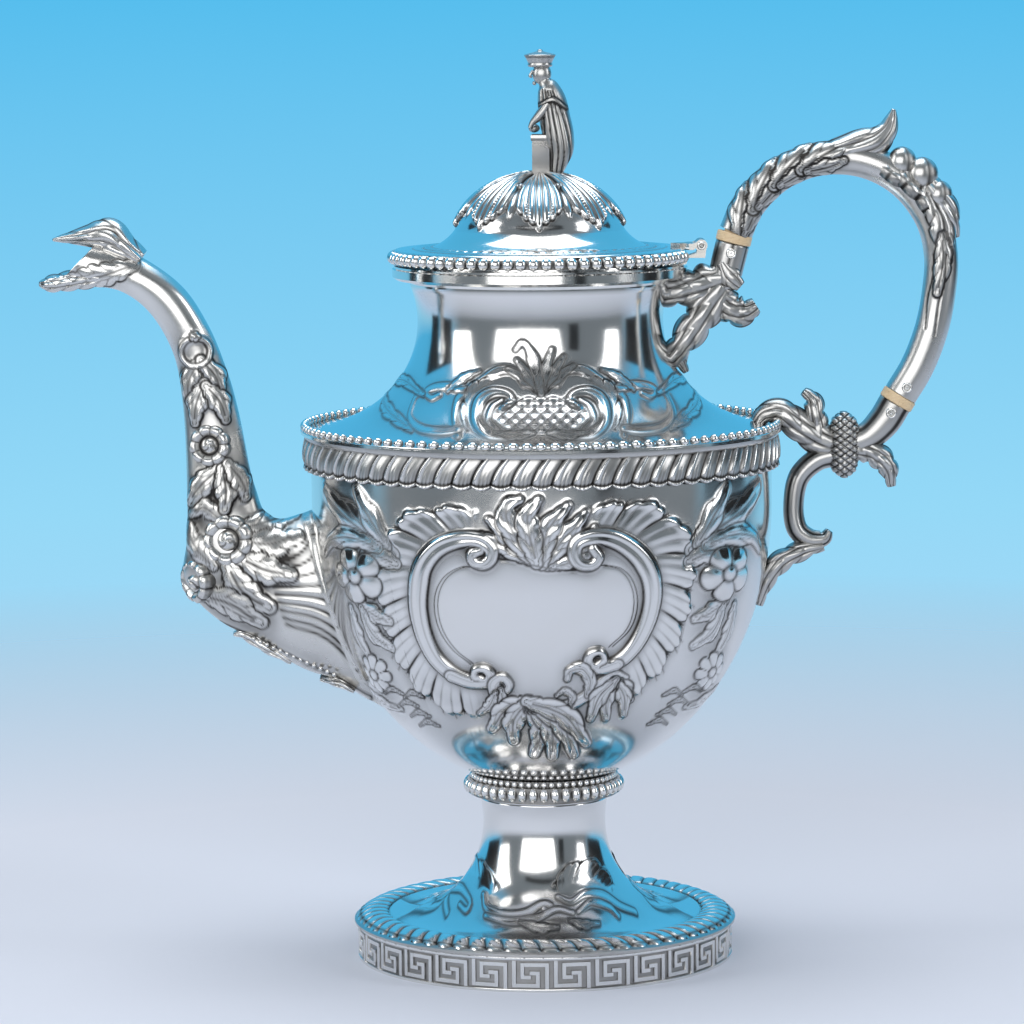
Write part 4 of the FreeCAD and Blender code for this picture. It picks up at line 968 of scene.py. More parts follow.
def foot_gadroon():
    """Ring of slanted lobes round the foot, and the bed under them."""
    count = FOOT_GADROONS
    inner, outer = PLATEAU_RADIUS - 0.3, FOOT_RADIUS + 1.0
    a = np.linspace(0, 1, 14)[:, None]
    b = np.linspace(-1, 1, 9)[None]
    r0 = inner + (outer - inner) * a - 0.9 * b ** 2 * clamped(4 * a - 3)
    half = math.pi * (inner + (outer - inner) * a) / count
    crown = PLATEAU_Z - 0.6 + 1.5 * np.sin(math.pi * clamped(a * 0.86 + 0.1)) - 2.1 * a ** 3
    z = crown + 0.85 * np.sqrt(clamped(1 - b ** 2)) - 1.2 * (a == 1) - 0.4 * (a == 0)
    y = b * half * 1.01 + 5.2 * (a - 0.5)
    points = np.stack([r0 * np.cos(y / r0), r0 * np.sin(y / r0), z], -1)
    dark = clamped(1.1 * np.abs(b) ** 4 + 0.7 * (a < 0.05) + 0.8 * bell(a - 0.86, 0.05))
    unit = grid_object("foot_gadroons", points[::-1], TRIM, dark[::-1])
    ring_of(unit, count, "pot", ["foot_gadroon_ring"])
    turned_ring("foot_gadroon_bed", [
        (inner + 0.2, KEY_TOP - 0.1), (outer - 1.0, KEY_TOP - 0.1), (outer + 0.2, KEY_TOP + 0.4),
        (outer + 0.2, KEY_TOP + 1.2), (outer - 0.8, KEY_TOP + 1.9), (inner + 0.2, PLATEAU_Z - 0.2),
    ], TRIM, "pot", patina=0.45)


def key_fret():
    """Key band of the foot: a dark sunk ground with a raised interlocking fret between two plain edges."""
    count = KEY_UNITS
    pitch = 2 * math.pi * FOOT_RADIUS / count
    ground = FOOT_RADIUS - 0.55
    tones = np.array([0, 0.1, 0, 0.2, 0.64, 0.64, 0.2, 0, 0.1, 0])
    turned_ring("key_band_ground", [
        (FOOT_RADIUS - 1.4, 0.0), (FOOT_RADIUS, 0.0), (FOOT_RADIUS + 0.1, 0.5), (FOOT_RADIUS, 1.0),
        (ground, 1.25), (ground, KEY_TOP - 1.25), (FOOT_RADIUS, KEY_TOP - 1.0),
        (FOOT_RADIUS + 0.1, KEY_TOP - 0.5), (FOOT_RADIUS, KEY_TOP), (FOOT_RADIUS - 1.4, KEY_TOP),
    ], TRIM, "pot", tones, replaced=["foot_key_band"])
    half = 0.060 * pitch
    low, high = 0.9, KEY_TOP - 0.9
    tall = high - low
    lines = [
        [(0.00, 1.0), (0.00, 0.14), (0.57, 0.14), (0.57, 0.56), (0.42, 0.56)],
        [(0.79, 0.0), (0.79, 0.84), (0.20, 0.84), (0.20, 0.42), (0.36, 0.42)],
    ]
    points, faces, dark = [], [], []
    for line in lines:
        for (u0, v0), (u1, v1) in zip(line, line[1:]):
            lo_u, hi_u = min(u0, u1) * pitch - half, max(u0, u1) * pitch + half
            lo_v, hi_v = low + min(v0, v1) * tall - half, low + max(v0, v1) * tall + half
            lo_v, hi_v = max(lo_v, low), min(hi_v, high)
            first = len(points)
            for radius, inset, shade in ((ground - 0.1, 0.0, 0.9), (FOOT_RADIUS + 0.02, 0.22, 0.05)):
                for u, v in ((lo_u + inset, lo_v + inset), (hi_u - inset, lo_v + inset),
                             (hi_u - inset, hi_v - inset), (lo_u + inset, hi_v - inset)):
                    turn = u / FOOT_RADIUS
                    points.append((radius * math.cos(turn), radius * math.sin(turn), v))
                    dark.append(shade)
            faces.append([first + 4, first + 5, first + 6, first + 7])
            for k in range(4):
                nxt = (k + 1) % 4
                faces.append([first + k, first + nxt, first + 4 + nxt, first + 4 + k])
    unit = mesh_object("key_fret", points, faces, TRIM, dark)
    unit.data.set_sharp_from_angle(angle=math.radians(30))
    ring_of(unit, count, "pot")


# Castings

def body_radius_at(z):
    """Radius of the pot's own wall at a height, where a casting is soldered to it."""
    upper = np.where(z < SHOULDER_Z, BOWL_RADIUS + 2.0, neck_radius_at(z))
    return np.where(z < BAND_BOTTOM, bowl_radius_at(z), upper)


def keep_outside(points):
    """Presses whatever reaches inside the pot back into the thickness of its wall."""
    r = np.hypot(points[..., 0], points[..., 1])
    wall = body_radius_at(points[..., 2]) - 0.5
    low = (r < wall) & (points[..., 2] < MOUTH_Z)
    grow = np.where(low, wall / np.maximum(r, 1e-6), 1.0)
    points[..., :2] *= grow[..., None]
    return points


class Casting:
    """Closed cast forms gathered into one piece."""

    def __init__(self, tone):
        self.points, self.faces, self.dark = [], [], []
        self.count = 0
        self.tone = tone

    def add_grid(self, points, patina):
        """A tube of rows of points, its two ends closed."""
        rows, columns = points.shape[:2]
        self.faces += [list(f) for f in grid_faces(rows, columns, True, self.count)]
        first, last = self.count, self.count + (rows - 1) * columns
        self.faces.append([first + k for k in range(columns)][::-1])
        self.faces.append([last + k for k in range(columns)])
        self.points.append(points.reshape(-1, 3))
        self.dark.append(clamped(patina + self.tone).ravel())
        self.count += rows * columns

    def path(self, stations, around, step, y):
        """Rows of (x, z, half thickness, half depth), and the middle, side and turns of each section."""
        rows = spline(stations, step)
        rows[:, 2:] = np.maximum(rows[:, 2:], 0.15)
        along = np.gradient(rows[:, :2], axis=0)
        along /= np.maximum(np.linalg.norm(along, axis=1, keepdims=True), 1e-9)
        side = np.column_stack([-along[:, 1], np.zeros(len(rows)), along[:, 0]])[:, None]
        middle = np.column_stack([rows[:, 0], np.full(len(rows), y), rows[:, 1]])[:, None]
        phi = even_turns(around)[None]
        return rows, middle, side, phi

    def arm(self, stations, draw=None, flutes=0, flute_depth=0.35, y=0.0, around=36, step=0.6,
            outside=False):
        """Arm or scroll with flutes along it, or ornament drawn on its side view."""
        rows, middle, side, phi = self.path(stations, around, step, y)
        thick, depth = rows[:, 2][:, None], rows[:, 3][:, None]
        base = middle + side * (thick * np.cos(phi))[..., None] - ACROSS * (depth * np.sin(phi))[..., None]
        normals = grid_normals(base, True)
        height = np.zeros(base.shape[:2])
        dark = np.zeros(base.shape[:2])
        if flutes:
            wave = np.abs(np.cos(flutes * phi))
            height += flute_depth * (wave - 1) * np.clip(thick / 3, 0.2, 1)
            dark += 0.8 * bell(wave, 0.22)
        if draw:
            relief = Relief(base[..., 0], base[..., 2])
            draw(relief)
            height, dark = relief.fields()
            height = height * np.clip(2.2 * np.abs(np.sin(phi)), 0.2, 1)
        points = base + normals * height[..., None]
        self.add_grid(keep_outside(points) if outside else points, dark + hollow_shade(height, 3, 0.8))

    def leaf(self, stations, lobes=3, y=0.0, notch=0.30, around=80, step=0.45, outside=False):
        """Acanthus leaf seen from the side: long flutes that run to the tip and a softly notched edge."""
        rows, middle, side, phi = self.path(stations, around, step, y)
        thick, depth = rows[:, 2][:, None], rows[:, 3][:, None]
        t = np.linspace(0, 1, len(rows))[:, None]
        s = np.cos(phi)
        edge = np.abs(s)
        wave = np.abs(np.cos(math.pi * lobes * t))
        reach = 1.25 * thick * s * (1 - notch * (1 - wave ** 0.6) * edge ** 2)
        swept = np.abs(np.cos(math.pi * (lobes * t + 0.8 * (1 - edge))))
        flute = np.abs(np.cos(1.5 * math.pi * (s + 0.08 * np.sin(2 * math.pi * t))))
        full = depth * np.sin(phi) * (0.74 + 0.14 * flute ** 0.7 + 0.12 * swept)
        points = middle + side * reach[..., None] - ACROSS * full[..., None]
        cut = clamped(6 * t) * bell(flute, 0.26)
        dark = 0.70 * cut + 0.8 * bell(swept, 0.20) * clamped(1.6 * edge - 0.4)
        self.add_grid(keep_outside(points) if outside else points, dark)

    def ball(self, centre, semi, furrows=0, rows=16, around=28):
        """Knob or fruit, with upright furrows where asked."""
        lat = np.linspace(-1.5, 1.5, rows)[:, None]
        phi = even_turns(around)[None]
        furrow = np.abs(np.cos(furrows * phi / 2)) if furrows else np.ones_like(phi)
        grow = 0.90 + 0.10 * furrow
        local = np.stack([np.cos(lat) * np.cos(phi) * grow, np.cos(lat) * np.sin(phi) * grow,
                          np.sin(lat) + 0 * phi], -1)
        dark = 0.7 * bell(furrow, 0.25) + 0 * lat + 0.5 * (np.abs(lat) > 1.35)
        self.add_grid(np.asarray(centre, float) + local * np.asarray(semi, float), dark)

    def blossom(self, centre, radius, height, facing, petals=9):
        """Open flower: a frilled rim of petals, a dark sunk ring and a bud in the middle."""
        out = Vector(facing).normalized()
        one = out.orthogonal().normalized()
        axes = np.array([one, out.cross(one), out])
        rows, around = 26, 72
        t = np.linspace(1, 0.02, rows)[:, None]
        phi = even_turns(around)[None]
        petal = np.abs(np.cos(petals * phi / 2))
        r = radius * t * (0.92 + 0.08 * petal ** 0.5 * clamped(3 * t - 1.6))
        bud = 0.95 * np.sqrt(clamped(1 - (t / 0.42) ** 2)) * (0.93 + 0.07 * np.cos(3 * phi + 9 * t))
        rim = bell(t - 0.76, 0.24) * (0.80 + 0.20 * petal ** 0.5)
        lift = height * (0.12 + 0.78 * rim + bud) - 1.1 * height * (t > 0.99)
        local = np.stack([r * np.cos(phi), r * np.sin(phi), lift], -1)
        dark = 0.95 * bell(t - 0.47, 0.07) + 0.6 * bell(petal, 0.25) * (t > 0.55) + 0.3 * (t > 0.96)
        dark = dark + 0.5 * (np.cos(3 * phi + 9 * t) < -0.75) * (t < 0.4)
        self.add_grid(np.asarray(centre, float) + local @ axes, dark)

    def piece(self, name, body, slot, *replaced):
        """Closes the casting as one piece of a body."""
        made = mesh_object(name, np.vstack(self.points), self.faces, CAST, np.concatenate(self.dark))
        belongs(made, body, replaced)
        return made


# Spout

# Stations of the spout: lower x and z, upper x and z, half depth
SPOUT_LINES = [
    (-50.0, 84.0, -66.0, 163.0, 17.0), (-61.5, 91.2, -79.0, 158.6, 17.0),
    (-73.0, 98.3, -86.0, 156.0, 16.0), (-85.2, 102.6, -90.5, 154.6, 14.6),
    (-98.5, 111.5, -94.5, 155.4, 13.0), (-114.8, 120.3, -97.7, 158.5, 11.0),
    (-125.6, 133.5, -99.7, 164.5, 9.6), (-124.2, 150.0, -101.7, 171.5, 8.6),
    (-124.2, 175.0, -103.6, 182.1, 7.6), (-125.1, 196.1, -106.0, 194.5, 6.8),
    (-128.0, 213.0, -109.4, 207.0, 6.4), (-135.7, 227.2, -115.9, 223.4, 6.6),
    (-146.0, 235.2, -125.5, 237.6, 7.0), (-159.0, 237.6, -141.5, 248.6, 7.4),
    (-166.0, 239.6, -154.0, 252.0, 6.8),
]


def spout_ornament(relief):
    """Fluted shell at the root, leaves round the flowers, husks under a ring, and the leaf of the beak."""
    # fluted shell spreading to the bowl
    for x, z in ((-80, 156), (-77.5, 149), (-75, 141), (-73, 133), (-70.5, 125), (-68.5, 117),
                 (-66, 109), (-63.5, 101), (-61, 94)):
        relief.groove([(-92 + 0.35 * (x + 70), 130 + 0.35 * (z - 125)),
                       ((-92 + x) / 2 + 2, (130 + z) / 2 + 1.6), (x + 4, z + 0.8)], 0.7, 0.7, dark=0.55)
    relief.frill([(-84, 158), (-80.5, 147), (-76.5, 133), (-71, 115), (-63, 95)], 1, 0.0,
                 (3, 4, 4, 4, 3), 24, 1.2, sweep=0.2)
    relief.ridge([(-113, 118), (-98, 111.4), (-84, 104.4), (-72, 98.4), (-62, 92.6)], (1.0, 1.5, 1.5),
                 1.2, flute=0.0)
    # leaves round the two flowers
    for line, width in (([(-104, 153), (-96, 154), (-87, 157)], 4.4),
                        ([(-103, 148), (-94, 147), (-85.5, 149.5)], 4.8),
                        ([(-104, 142), (-96, 138.5), (-88, 137)], 5.2),
                        ([(-109, 139), (-104, 131), (-95.5, 126)], 5.4),
                        ([(-117, 129), (-108, 126.5), (-98.5, 120.5)], 5.2),
                        ([(-115, 140), (-120, 146), (-122.6, 153)], 3.6),
                        ([(-112, 156), (-117, 160), (-121, 158)], 3.4),
                        ([(-113, 173), (-118, 168), (-121.6, 162.5)], 4.2),
                        ([(-111, 173), (-110, 166), (-110.4, 160)], 4.0),
                        ([(-109, 175), (-105.4, 169.5), (-103.6, 164)], 3.6)):
        relief.frond(line, 1.15 * width, 2.2, lobes=3, tip=0.45)
    # husks that hang from the ring
    for line in ([(-118.6, 211), (-121.6, 205), (-122.4, 198)],
                 [(-117.6, 211), (-113.6, 206), (-111.6, 199.5)],
                 [(-117.2, 203), (-119.4, 196.6), (-120.2, 190)],
                 [(-116, 202), (-112, 197), (-110, 191)]):
        relief.frond(line, 4.2, 1.9, lobes=2, tip=0.4)
    relief.ridge(ring_line((-119.9, 214.3), 4.9), 0.95, 1.3, flute=0.0)
    relief.flower((-120.1, 219.6), 2.0, 1.2, petals=5)
    # leaf that wraps the beak
    relief.frond([(-141.5, 244.4), (-150, 241.6), (-159, 239.6), (-167, 238.6)], 5.0, 1.0, lobes=6,
                 tip=0.5)


def spout():
    """Cast spout: leafy fluted cup, tall neck with flowers, and an open beak under a turned leaf."""
    around, step, crowd = 168, 0.70, 0.24    # points round and along, drawn together towards the two sides
    rows = spline(SPOUT_LINES, step)
    phi = even_turns(around)[None, :, None]
    phi = phi + crowd * np.sin(2 * phi)
    low = np.column_stack([rows[:, 0], 0 * rows[:, 0], rows[:, 1]])[:, None]
    high = np.column_stack([rows[:, 2], 0 * rows[:, 2], rows[:, 3]])[:, None]
    middle, reach = (low + high) / 2, (low - high) / 2
    across = ACROSS * rows[:, 4][:, None, None]
    base = middle + reach * np.cos(phi) - across * np.sin(phi)
    normals = grid_normals(base, True)
    relief = Relief(base[..., 0], base[..., 2])
    spout_ornament(relief)
    height, dark = relief.fields()
    fade = clamped(np.linspace(1, 0, len(rows)) * 20)
    height = box_blur(height * fade[:, None] * np.clip(np.abs(np.sin(phi[..., 0])) * 2.0, 0.15, 1), 1)
    plain = clamped((base[..., 2] - 212) / 12) * 0.5
    patina = clamped(dark + hollow_shade(height, 5, 0.8)) - plain * SPOUT_TONE
    outer = keep_outside(base + normals * height[..., None])
    back = np.linspace(len(rows) - 1, len(rows) - 36, 14).astype(int)
    shrink = np.linspace(0.80, 0.72, len(back))[:, None, None]
    bore = middle[back] + (reach[back] * np.cos(phi) - across[back] * np.sin(phi)) * shrink
    made = Casting(SPOUT_TONE)
    made.add_grid(np.concatenate([outer, bore]), np.concatenate([patina, np.full(bore.shape[:2], 0.6)]))
    made.leaf([(-138.6, 246.6, 2.6, 6.4), (-145, 251.2, 4.2, 7.6), (-150.6, 254.8, 5.2, 7.0),
               (-157, 254.6, 3.2, 5.6), (-164, 253.9, 1.7, 3.0), (-169.4, 253.3, 0.4, 0.6)], lobes=3,
              notch=0.15)
    made.leaf([(-146, 240.4, 2.2, 6.6), (-155, 240.0, 3.0, 7.4), (-164, 239.0, 3.0, 6.4),
               (-171, 238.0, 2.4, 4.4), (-174.4, 238.0, 0.7, 1.2)], lobes=5, notch=0.22)
    for side in (-1, 1):
        made.blossom((-109.4, side * 8.8, 148.6), 9.4, 3.2, (-0.22, side, 0.05))
        made.blossom((-115.4, side * 6.8, 181.7), 7.5, 2.7, (-0.15, side, 0.05))
        for k in range(13):
            made.ball((-73 - 2.35 * k, side * (9.6 - 0.32 * k), 101.2 + 1.02 * k), (0.85, 0.85, 0.85),
                      rows=7, around=9)
        made.blossom((-120.6, side * 4.2, 134.0), 8.2, 3.4, (-0.8, 0.6 * side, -0.1))
    made.leaf([(-88, 105, 1.4, 6.0), (-97, 110.2, 2.2, 6.4), (-104, 114.4, 2.0, 4.6),
               (-108.6, 114.4, 0.6, 1.4)], lobes=3)
    made.leaf([(-66, 95, 1.4, 9.0), (-72, 97.8, 2.0, 9.0), (-78.4, 98.4, 0.8, 2.6)], lobes=2, outside=True)
    made.piece("spout_casting", "pot", "silver_casting", "spout_half_near", "spout_half_far")


# Handle

LOOP_CENTRE, LOOP_RADIUS = (103.0, 243.2), 36.5
LOWER_END, LOWER_TURN = (124.5, 195.4), -31.6    # lower insulator, and the slope of the handle there


def on_loop(angle, radius=LOOP_RADIUS):
    """Point (x, z) at an angle round the centre of the handle loop."""
    turn = math.radians(angle)
    return LOOP_CENTRE[0] + radius * math.cos(turn), LOOP_CENTRE[1] + radius * math.sin(turn)


def handle_ornament(relief):
    """Overlapping leaves on the upper half of the loop and two lines down its back."""
    for start in (164, 146, 128, 110):
        relief.frond([on_loop(start, 35.0), on_loop(start - 12, 37.4), on_loop(start - 24, 40.8)], 4.8,
                     1.7, lobes=2, tip=0.35)
        relief.frond([on_loop(start - 3, 33.6), on_loop(start - 13, 33.6), on_loop(start - 23, 35.4)],
                     3.2, 1.2, lobes=2)
    relief.frond([on_loop(38, 40), on_loop(22, 39), on_loop(2, 38.2)], 5.4, 1.7, lobes=3, tip=0.3)
    relief.frond([on_loop(14, 37.4), on_loop(0, 36.6), on_loop(-16, 36.2)], 3.4, 1.2, lobes=3)
    for lift in (33.4, 37.6):
        relief.groove([on_loop(4, lift), on_loop(-8, lift), on_loop(-22, lift + 0.4),
                       on_loop(-36, lift + 4.4)], 0.4, 0.3)


def handle():
    """Handle loop with acanthus in relief, its upturned thumb leaf, fruit and hanging leaf."""
    upper = [on_loop(a) for a in (163.2, 145, 122, 98, 74, 50, 26, 4)]
    lower = [(138.6, 231.6), (136.0, 219.0), (131.4, 207.0), (125.4, 196.9)]
    made = Casting(HANDLE_TONE)
    made.arm([(x, z, 5.9, 5.9) for x, z in upper + lower], draw=handle_ornament, around=96, step=0.42)
    made.leaf([(92, 279.0, 2.6, 6.6), (102, 281.6, 3.8, 6.8), (110, 283.0, 4.8, 6.4),
               (116.6, 285.0, 4.6, 5.6), (120.6, 288.8, 3.2, 4.2), (122.2, 292.8, 1.9, 2.8),
               (123.0, 296.2, 0.6, 1.0)], lobes=2, notch=0.12)
    made.piece("handle_chasing", "pot", "silver_casting", "handle_loop", "thumb_leaf")
    fruit = Casting(HANDLE_TONE)
    for angle, size, out in ((57, 5.2, 41.6), (46, 5.8, 42.6), (33.5, 5.0, 42.4)):
        x, z = on_loop(angle, out)
        away = (math.cos(math.radians(angle)), -0.55, math.sin(math.radians(angle)))
        fruit.blossom((x - 3.4 * away[0], -0.6, z - 3.4 * away[2]), 1.5 * size, 2.4, away, petals=8)
        fruit.ball((x, -1.4, z), (size, size, size), furrows=3)
        fruit.ball((x, 3.4, z - 1.2), (0.8 * size, 0.8 * size, 0.8 * size), furrows=3)
    fruit.leaf([(134.6, 270, 3.6, 6.0), (139.2, 264.6, 4.2, 6.0), (142.6, 258.4, 3.2, 4.8),
                (145.2, 251.6, 0.7, 1.0)], lobes=2)
    fruit.piece("fruit_chasing", "pot", "silver_casting", "fruit_cluster")


def upper_socket():
    """Leafy socket on the neck that holds the handle's upper end."""
    made = Casting(SOCKET_TONE)
    made.arm([(67.1, 250.2, 5.9, 5.9), (65.6, 244.4, 5.9, 5.9), (64.0, 238.0, 5.6, 5.6),
              (62.0, 234.0, 4.0, 4.4)], flutes=3, flute_depth=0.3)
    made.leaf([(64.5, 239, 5.0, 5.4), (57.9, 236.4, 5.8, 6.2), (50.4, 234.6, 5.2, 7.6),
               (43.4, 233.4, 4.4, 8.4), (36.4, 232, 3.6, 8.0)], lobes=4, outside=True)
    made.leaf([(63.0, 236, 5.2, 5.6), (56.4, 225.5, 5.4, 6.8), (49.6, 216, 4.4, 7.0),
               (44.6, 210, 3.4, 5.6), (38.4, 205, 2.4, 4.4)], lobes=4, outside=True)
    made.leaf([(48, 216, 2.6, 4.8), (48.6, 210, 2.4, 4.0), (50.8, 205.4, 0.9, 2.0)], lobes=2, outside=True)
    made.leaf([(60, 233, 4.6, 5.2), (66.4, 227.4, 4.8, 5.0), (71.4, 226.4, 4.2, 4.6),
               (75.2, 228.6, 2.2, 3.4)], lobes=3)
    for side in (-1, 1):
        made.leaf([(63, 244, 1.4, 1.2), (66.4, 238.4, 3.2, 1.9), (69.6, 235.4, 1.6, 1.2)], lobes=2,
                  y=side * 4.6)
    made.piece("upper_socket_chasing", "pot", "silver_casting", "upper_socket")


def bracket_ornament(relief):
    """Lattice on the bracket's knop."""
    relief.lattice((105.7, 179.6), (9.5, 13.0), 3.3, 0.7)


def lower_bracket():
    """Scrolled bracket on shoulder and bowl, with a latticed knop, that holds the handle's lower end."""
    made = Casting(SOCKET_TONE)
    made.arm([(123.6, 194.0, 5.9, 5.9), (119.6, 187.6, 5.8, 5.8), (114.0, 182.4, 5.2, 5.4),
              (106.0, 179.6, 4.6, 4.8)], flutes=2, flute_depth=0.3)
    made.arm([(105.9, 190.6, 1.6, 2.4), (105.8, 187.6, 4.4, 5.6), (105.7, 179.6, 5.6, 7.4),
              (105.6, 171.6, 4.4, 5.6), (105.5, 168.6, 1.6, 2.4)], draw=bracket_ornament, around=72,
             step=0.35)
    made.leaf([(104, 180, 4.6, 4.8), (97.6, 181.6, 5.0, 5.4), (90.4, 186.2, 4.6, 5.4),
               (84, 191.2, 3.9, 5.0), (78.4, 190.8, 3.2, 4.2), (75.0, 187.4, 1.8, 3.0)], lobes=4,
              notch=0.15, outside=True)
    made.leaf([(97, 182, 4.0, 4.4), (95.6, 190, 3.4, 5.0), (95, 195.4, 2.7, 4.4),
               (91.6, 198.4, 1.2, 2.4)], lobes=3)
    made.arm([(104, 176.4, 4.4, 4.6), (96.4, 174.4, 4.1, 4.4), (90.0, 168.2, 3.8, 4.2),
              (88.1, 158.6, 3.6, 4.1), (89.2, 150.4, 3.7, 4.1), (93.4, 146.6, 3.6, 4.0),
              (98.6, 146.6, 2.8, 3.5), (100.6, 149.4, 1.4, 2.4)], flutes=2, flute_depth=0.6,
             outside=True)
    made.leaf([(98.4, 144.4, 1.8, 3.6), (91, 142.4, 3.0, 4.8), (83.5, 138.6, 3.3, 5.2),
               (78.4, 132, 2.8, 4.8), (75.6, 123.4, 1.4, 3.0)], lobes=4, outside=True)
    made.leaf([(108, 178.4, 4.2, 4.6), (115, 177.4, 3.9, 5.0), (120.8, 172, 3.3, 4.8),
               (122.4, 164.8, 1.2, 2.4)], lobes=4)
    made.piece("lower_bracket_chasing", "pot", "silver_casting", "lower_bracket")


def pin_heads():
    """Riveted heads of the pins of the insulators and of the hinge."""
    made = Casting(PIN_TONE)
    reach = 5.2
    for (x, z), turn in ((on_loop(166), 166), (LOWER_END, LOWER_TURN)):
        along = (-math.sin(math.radians(turn)), math.cos(math.radians(turn)))
        for step in (-reach, reach):
            for side in (-1, 1):
                made.blossom((x + step * along[0], side * 5.6, z + step * along[1]), 1.9, 0.8,
                             (0, side, 0), petals=0)
    low, high = node_box("hinge_pin")
    for side, y in ((-1, low[1]), (1, high[1])):
        made.blossom(((low[0] + high[0]) / 2, y, (low[2] + high[2]) / 2), 1.5, 0.6, (0, side, 0), petals=0)
    made.piece("pin_heads", "pot", "silver_fittings")


# Finial

def finial():
    """Small robed figure with a broad hat, standing behind a square post with both hands on its top."""
    made = Casting(FINIAL_TONE)

    def robe(relief):
        """Folds that fall from the shoulders, and a sash."""
        for shift in (0.0, 1.7, 3.4, 5.1, 6.8):
            relief.groove([(1.2 + shift * 0.6, 303), (1.6 + shift * 1.1, 293), (2.2 + shift * 1.3, 283),
                           (2.6 + shift, 275)], 0.34, 0.45)
        relief.ridge([(1, 299), (5, 300.6), (9, 298)], (0.6, 0.9, 0.6), 0.5)

    made.arm([(5.0, 272.6, 2.0, 3.2), (6.2, 277, 2.9, 4.2), (7.6, 283, 4.4, 5.2), (6.8, 288, 5.4, 5.6),
              (5.6, 294, 5.4, 5.4), (4.6, 300, 5.0, 5.2), (3.4, 304.4, 3.8, 4.2),
              (2.4, 306.6, 2.4, 2.6), (2.0, 308.0, 2.0, 2.2)], draw=robe, around=72, step=0.35)
    made.ball((1.2, 0, 309.4), (3.3, 2.9, 3.8), rows=18, around=28)
    made.arm([(-2.0, 310.6, 0.35, 0.35), (-2.6, 309.4, 0.5, 0.5), (-2.9, 308.6, 0.55, 0.6),
              (-2.2, 308.2, 0.3, 0.4)], around=10, step=0.25)
    made.arm([(-1.2, 306.6, 0.5, 0.6), (-1.5, 306.2, 0.7, 0.9), (-0.9, 305.7, 0.4, 0.6)], around=10,
             step=0.2)
    for side in (-1, 1):
        made.ball((-1.75, side * 1.15, 310.2), (0.55, 0.6, 0.4), rows=8, around=10)
        made.arm([(4.4, 301.4, 1.5, 1.5), (2.0, 297.4, 1.7, 1.7), (-0.4, 294.4, 1.5, 1.5),
                  (-2.2, 292.6, 1.0, 1.1), (-3.2, 290.8, 0.6, 0.9)], y=side * 3.4, flutes=2,
                 flute_depth=0.3, around=18, step=0.4)
    made.ball((-1.6, 0, 290.6), (2.0, 3.4, 1.5), furrows=8, rows=12, around=28)
    lip = spline([(0.05, 311.6), (3.4, 311.7), (4.3, 312.3), (4.2, 313.2), (5.0, 315.0), (5.5, 315.8),
                  (4.8, 316.2), (2.4, 316.8), (1.1, 317.2), (0.8, 317.7), (0.05, 317.9)], 0.3)
    hat = turned_points(lip, even_turns(40)) + np.array([0.6, 0, 0])
    crease = 0.5 * bell(lip[:, 1] - 315.2, 0.3)
    made.add_grid(hat, np.broadcast_to(crease[:, None], hat.shape[:2]))
    square = ((1, -1), (1, 1), (-1, 1), (-1, -1))
    post = [(3.6, 272.4), (3.6, 274.2), (3.0, 274.6), (3.0, 286.2), (3.4, 286.6), (3.4, 288.2),
            (3.0, 288.6)]
    grid = np.array([[(0.6 + half * x, half * y, z) for x, y in square] for half, z in post])
    edges = np.array([0.2, -0.3, 0.2, -0.3, 0.2, -0.3, -0.1])
    made.add_grid(grid, np.tile(edges[:, None], (1, 4)))
    figure = made.piece("finial_figure", "lid", "silver_casting", "finial")
    figure.data.set_sharp_from_angle(angle=math.radians(50))


# Fittings that are shown as they are built

def plain_fittings():
    """Finishes of the solids that are seen as they are built."""
    finish = {node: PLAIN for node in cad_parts}
    for node in ("upper_insulator", "lower_insulator"):
        finish[node] = BONE
    for node in ("body_hinge_leaf", "lid_hinge_leaf", "hinge_pin"):
        finish[node] = AGED
    for node, material in finish.items():
        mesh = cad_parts[node].data
        mesh.materials.clear()
        mesh.materials.append(material)


# Studio

def card(name, centre, size, aim, colour, power=0.0):
    """A soft lamp where power is given, else a dark card that only reflections see."""
    if power:
        data = bpy.data.lights.new(name, "AREA")
        data.shape = "RECTANGLE"
        data.size, data.size_y = size
        data.energy = power
        data.color = colour
    else:
        half = np.array(size) / 2
        data = bpy.data.meshes.new(name)
        data.from_pydata([(-half[0], -half[1], 0), (half[0], -half[1], 0), (half[0], half[1], 0),
                          (-half[0], half[1], 0)], [], [(0, 1, 2, 3)])
        shade, shader, _ = new_material(name)
        shader.inputs["Base Color"].default_value = (*colour, 1.0)
        shader.inputs["Roughness"].default_value = 1.0
        data.materials.append(shade)
    made = bpy.data.objects.new(name, data)
    made.location = centre
    made.rotation_euler = (Vector(aim) - Vector(centre)).to_track_quat("-Z", "Y").to_euler()
    made.visible_camera = False
    if not power:
        made.visible_shadow = False
        made.visible_diffuse = False
    bpy.context.scene.collection.objects.link(made)
    return made


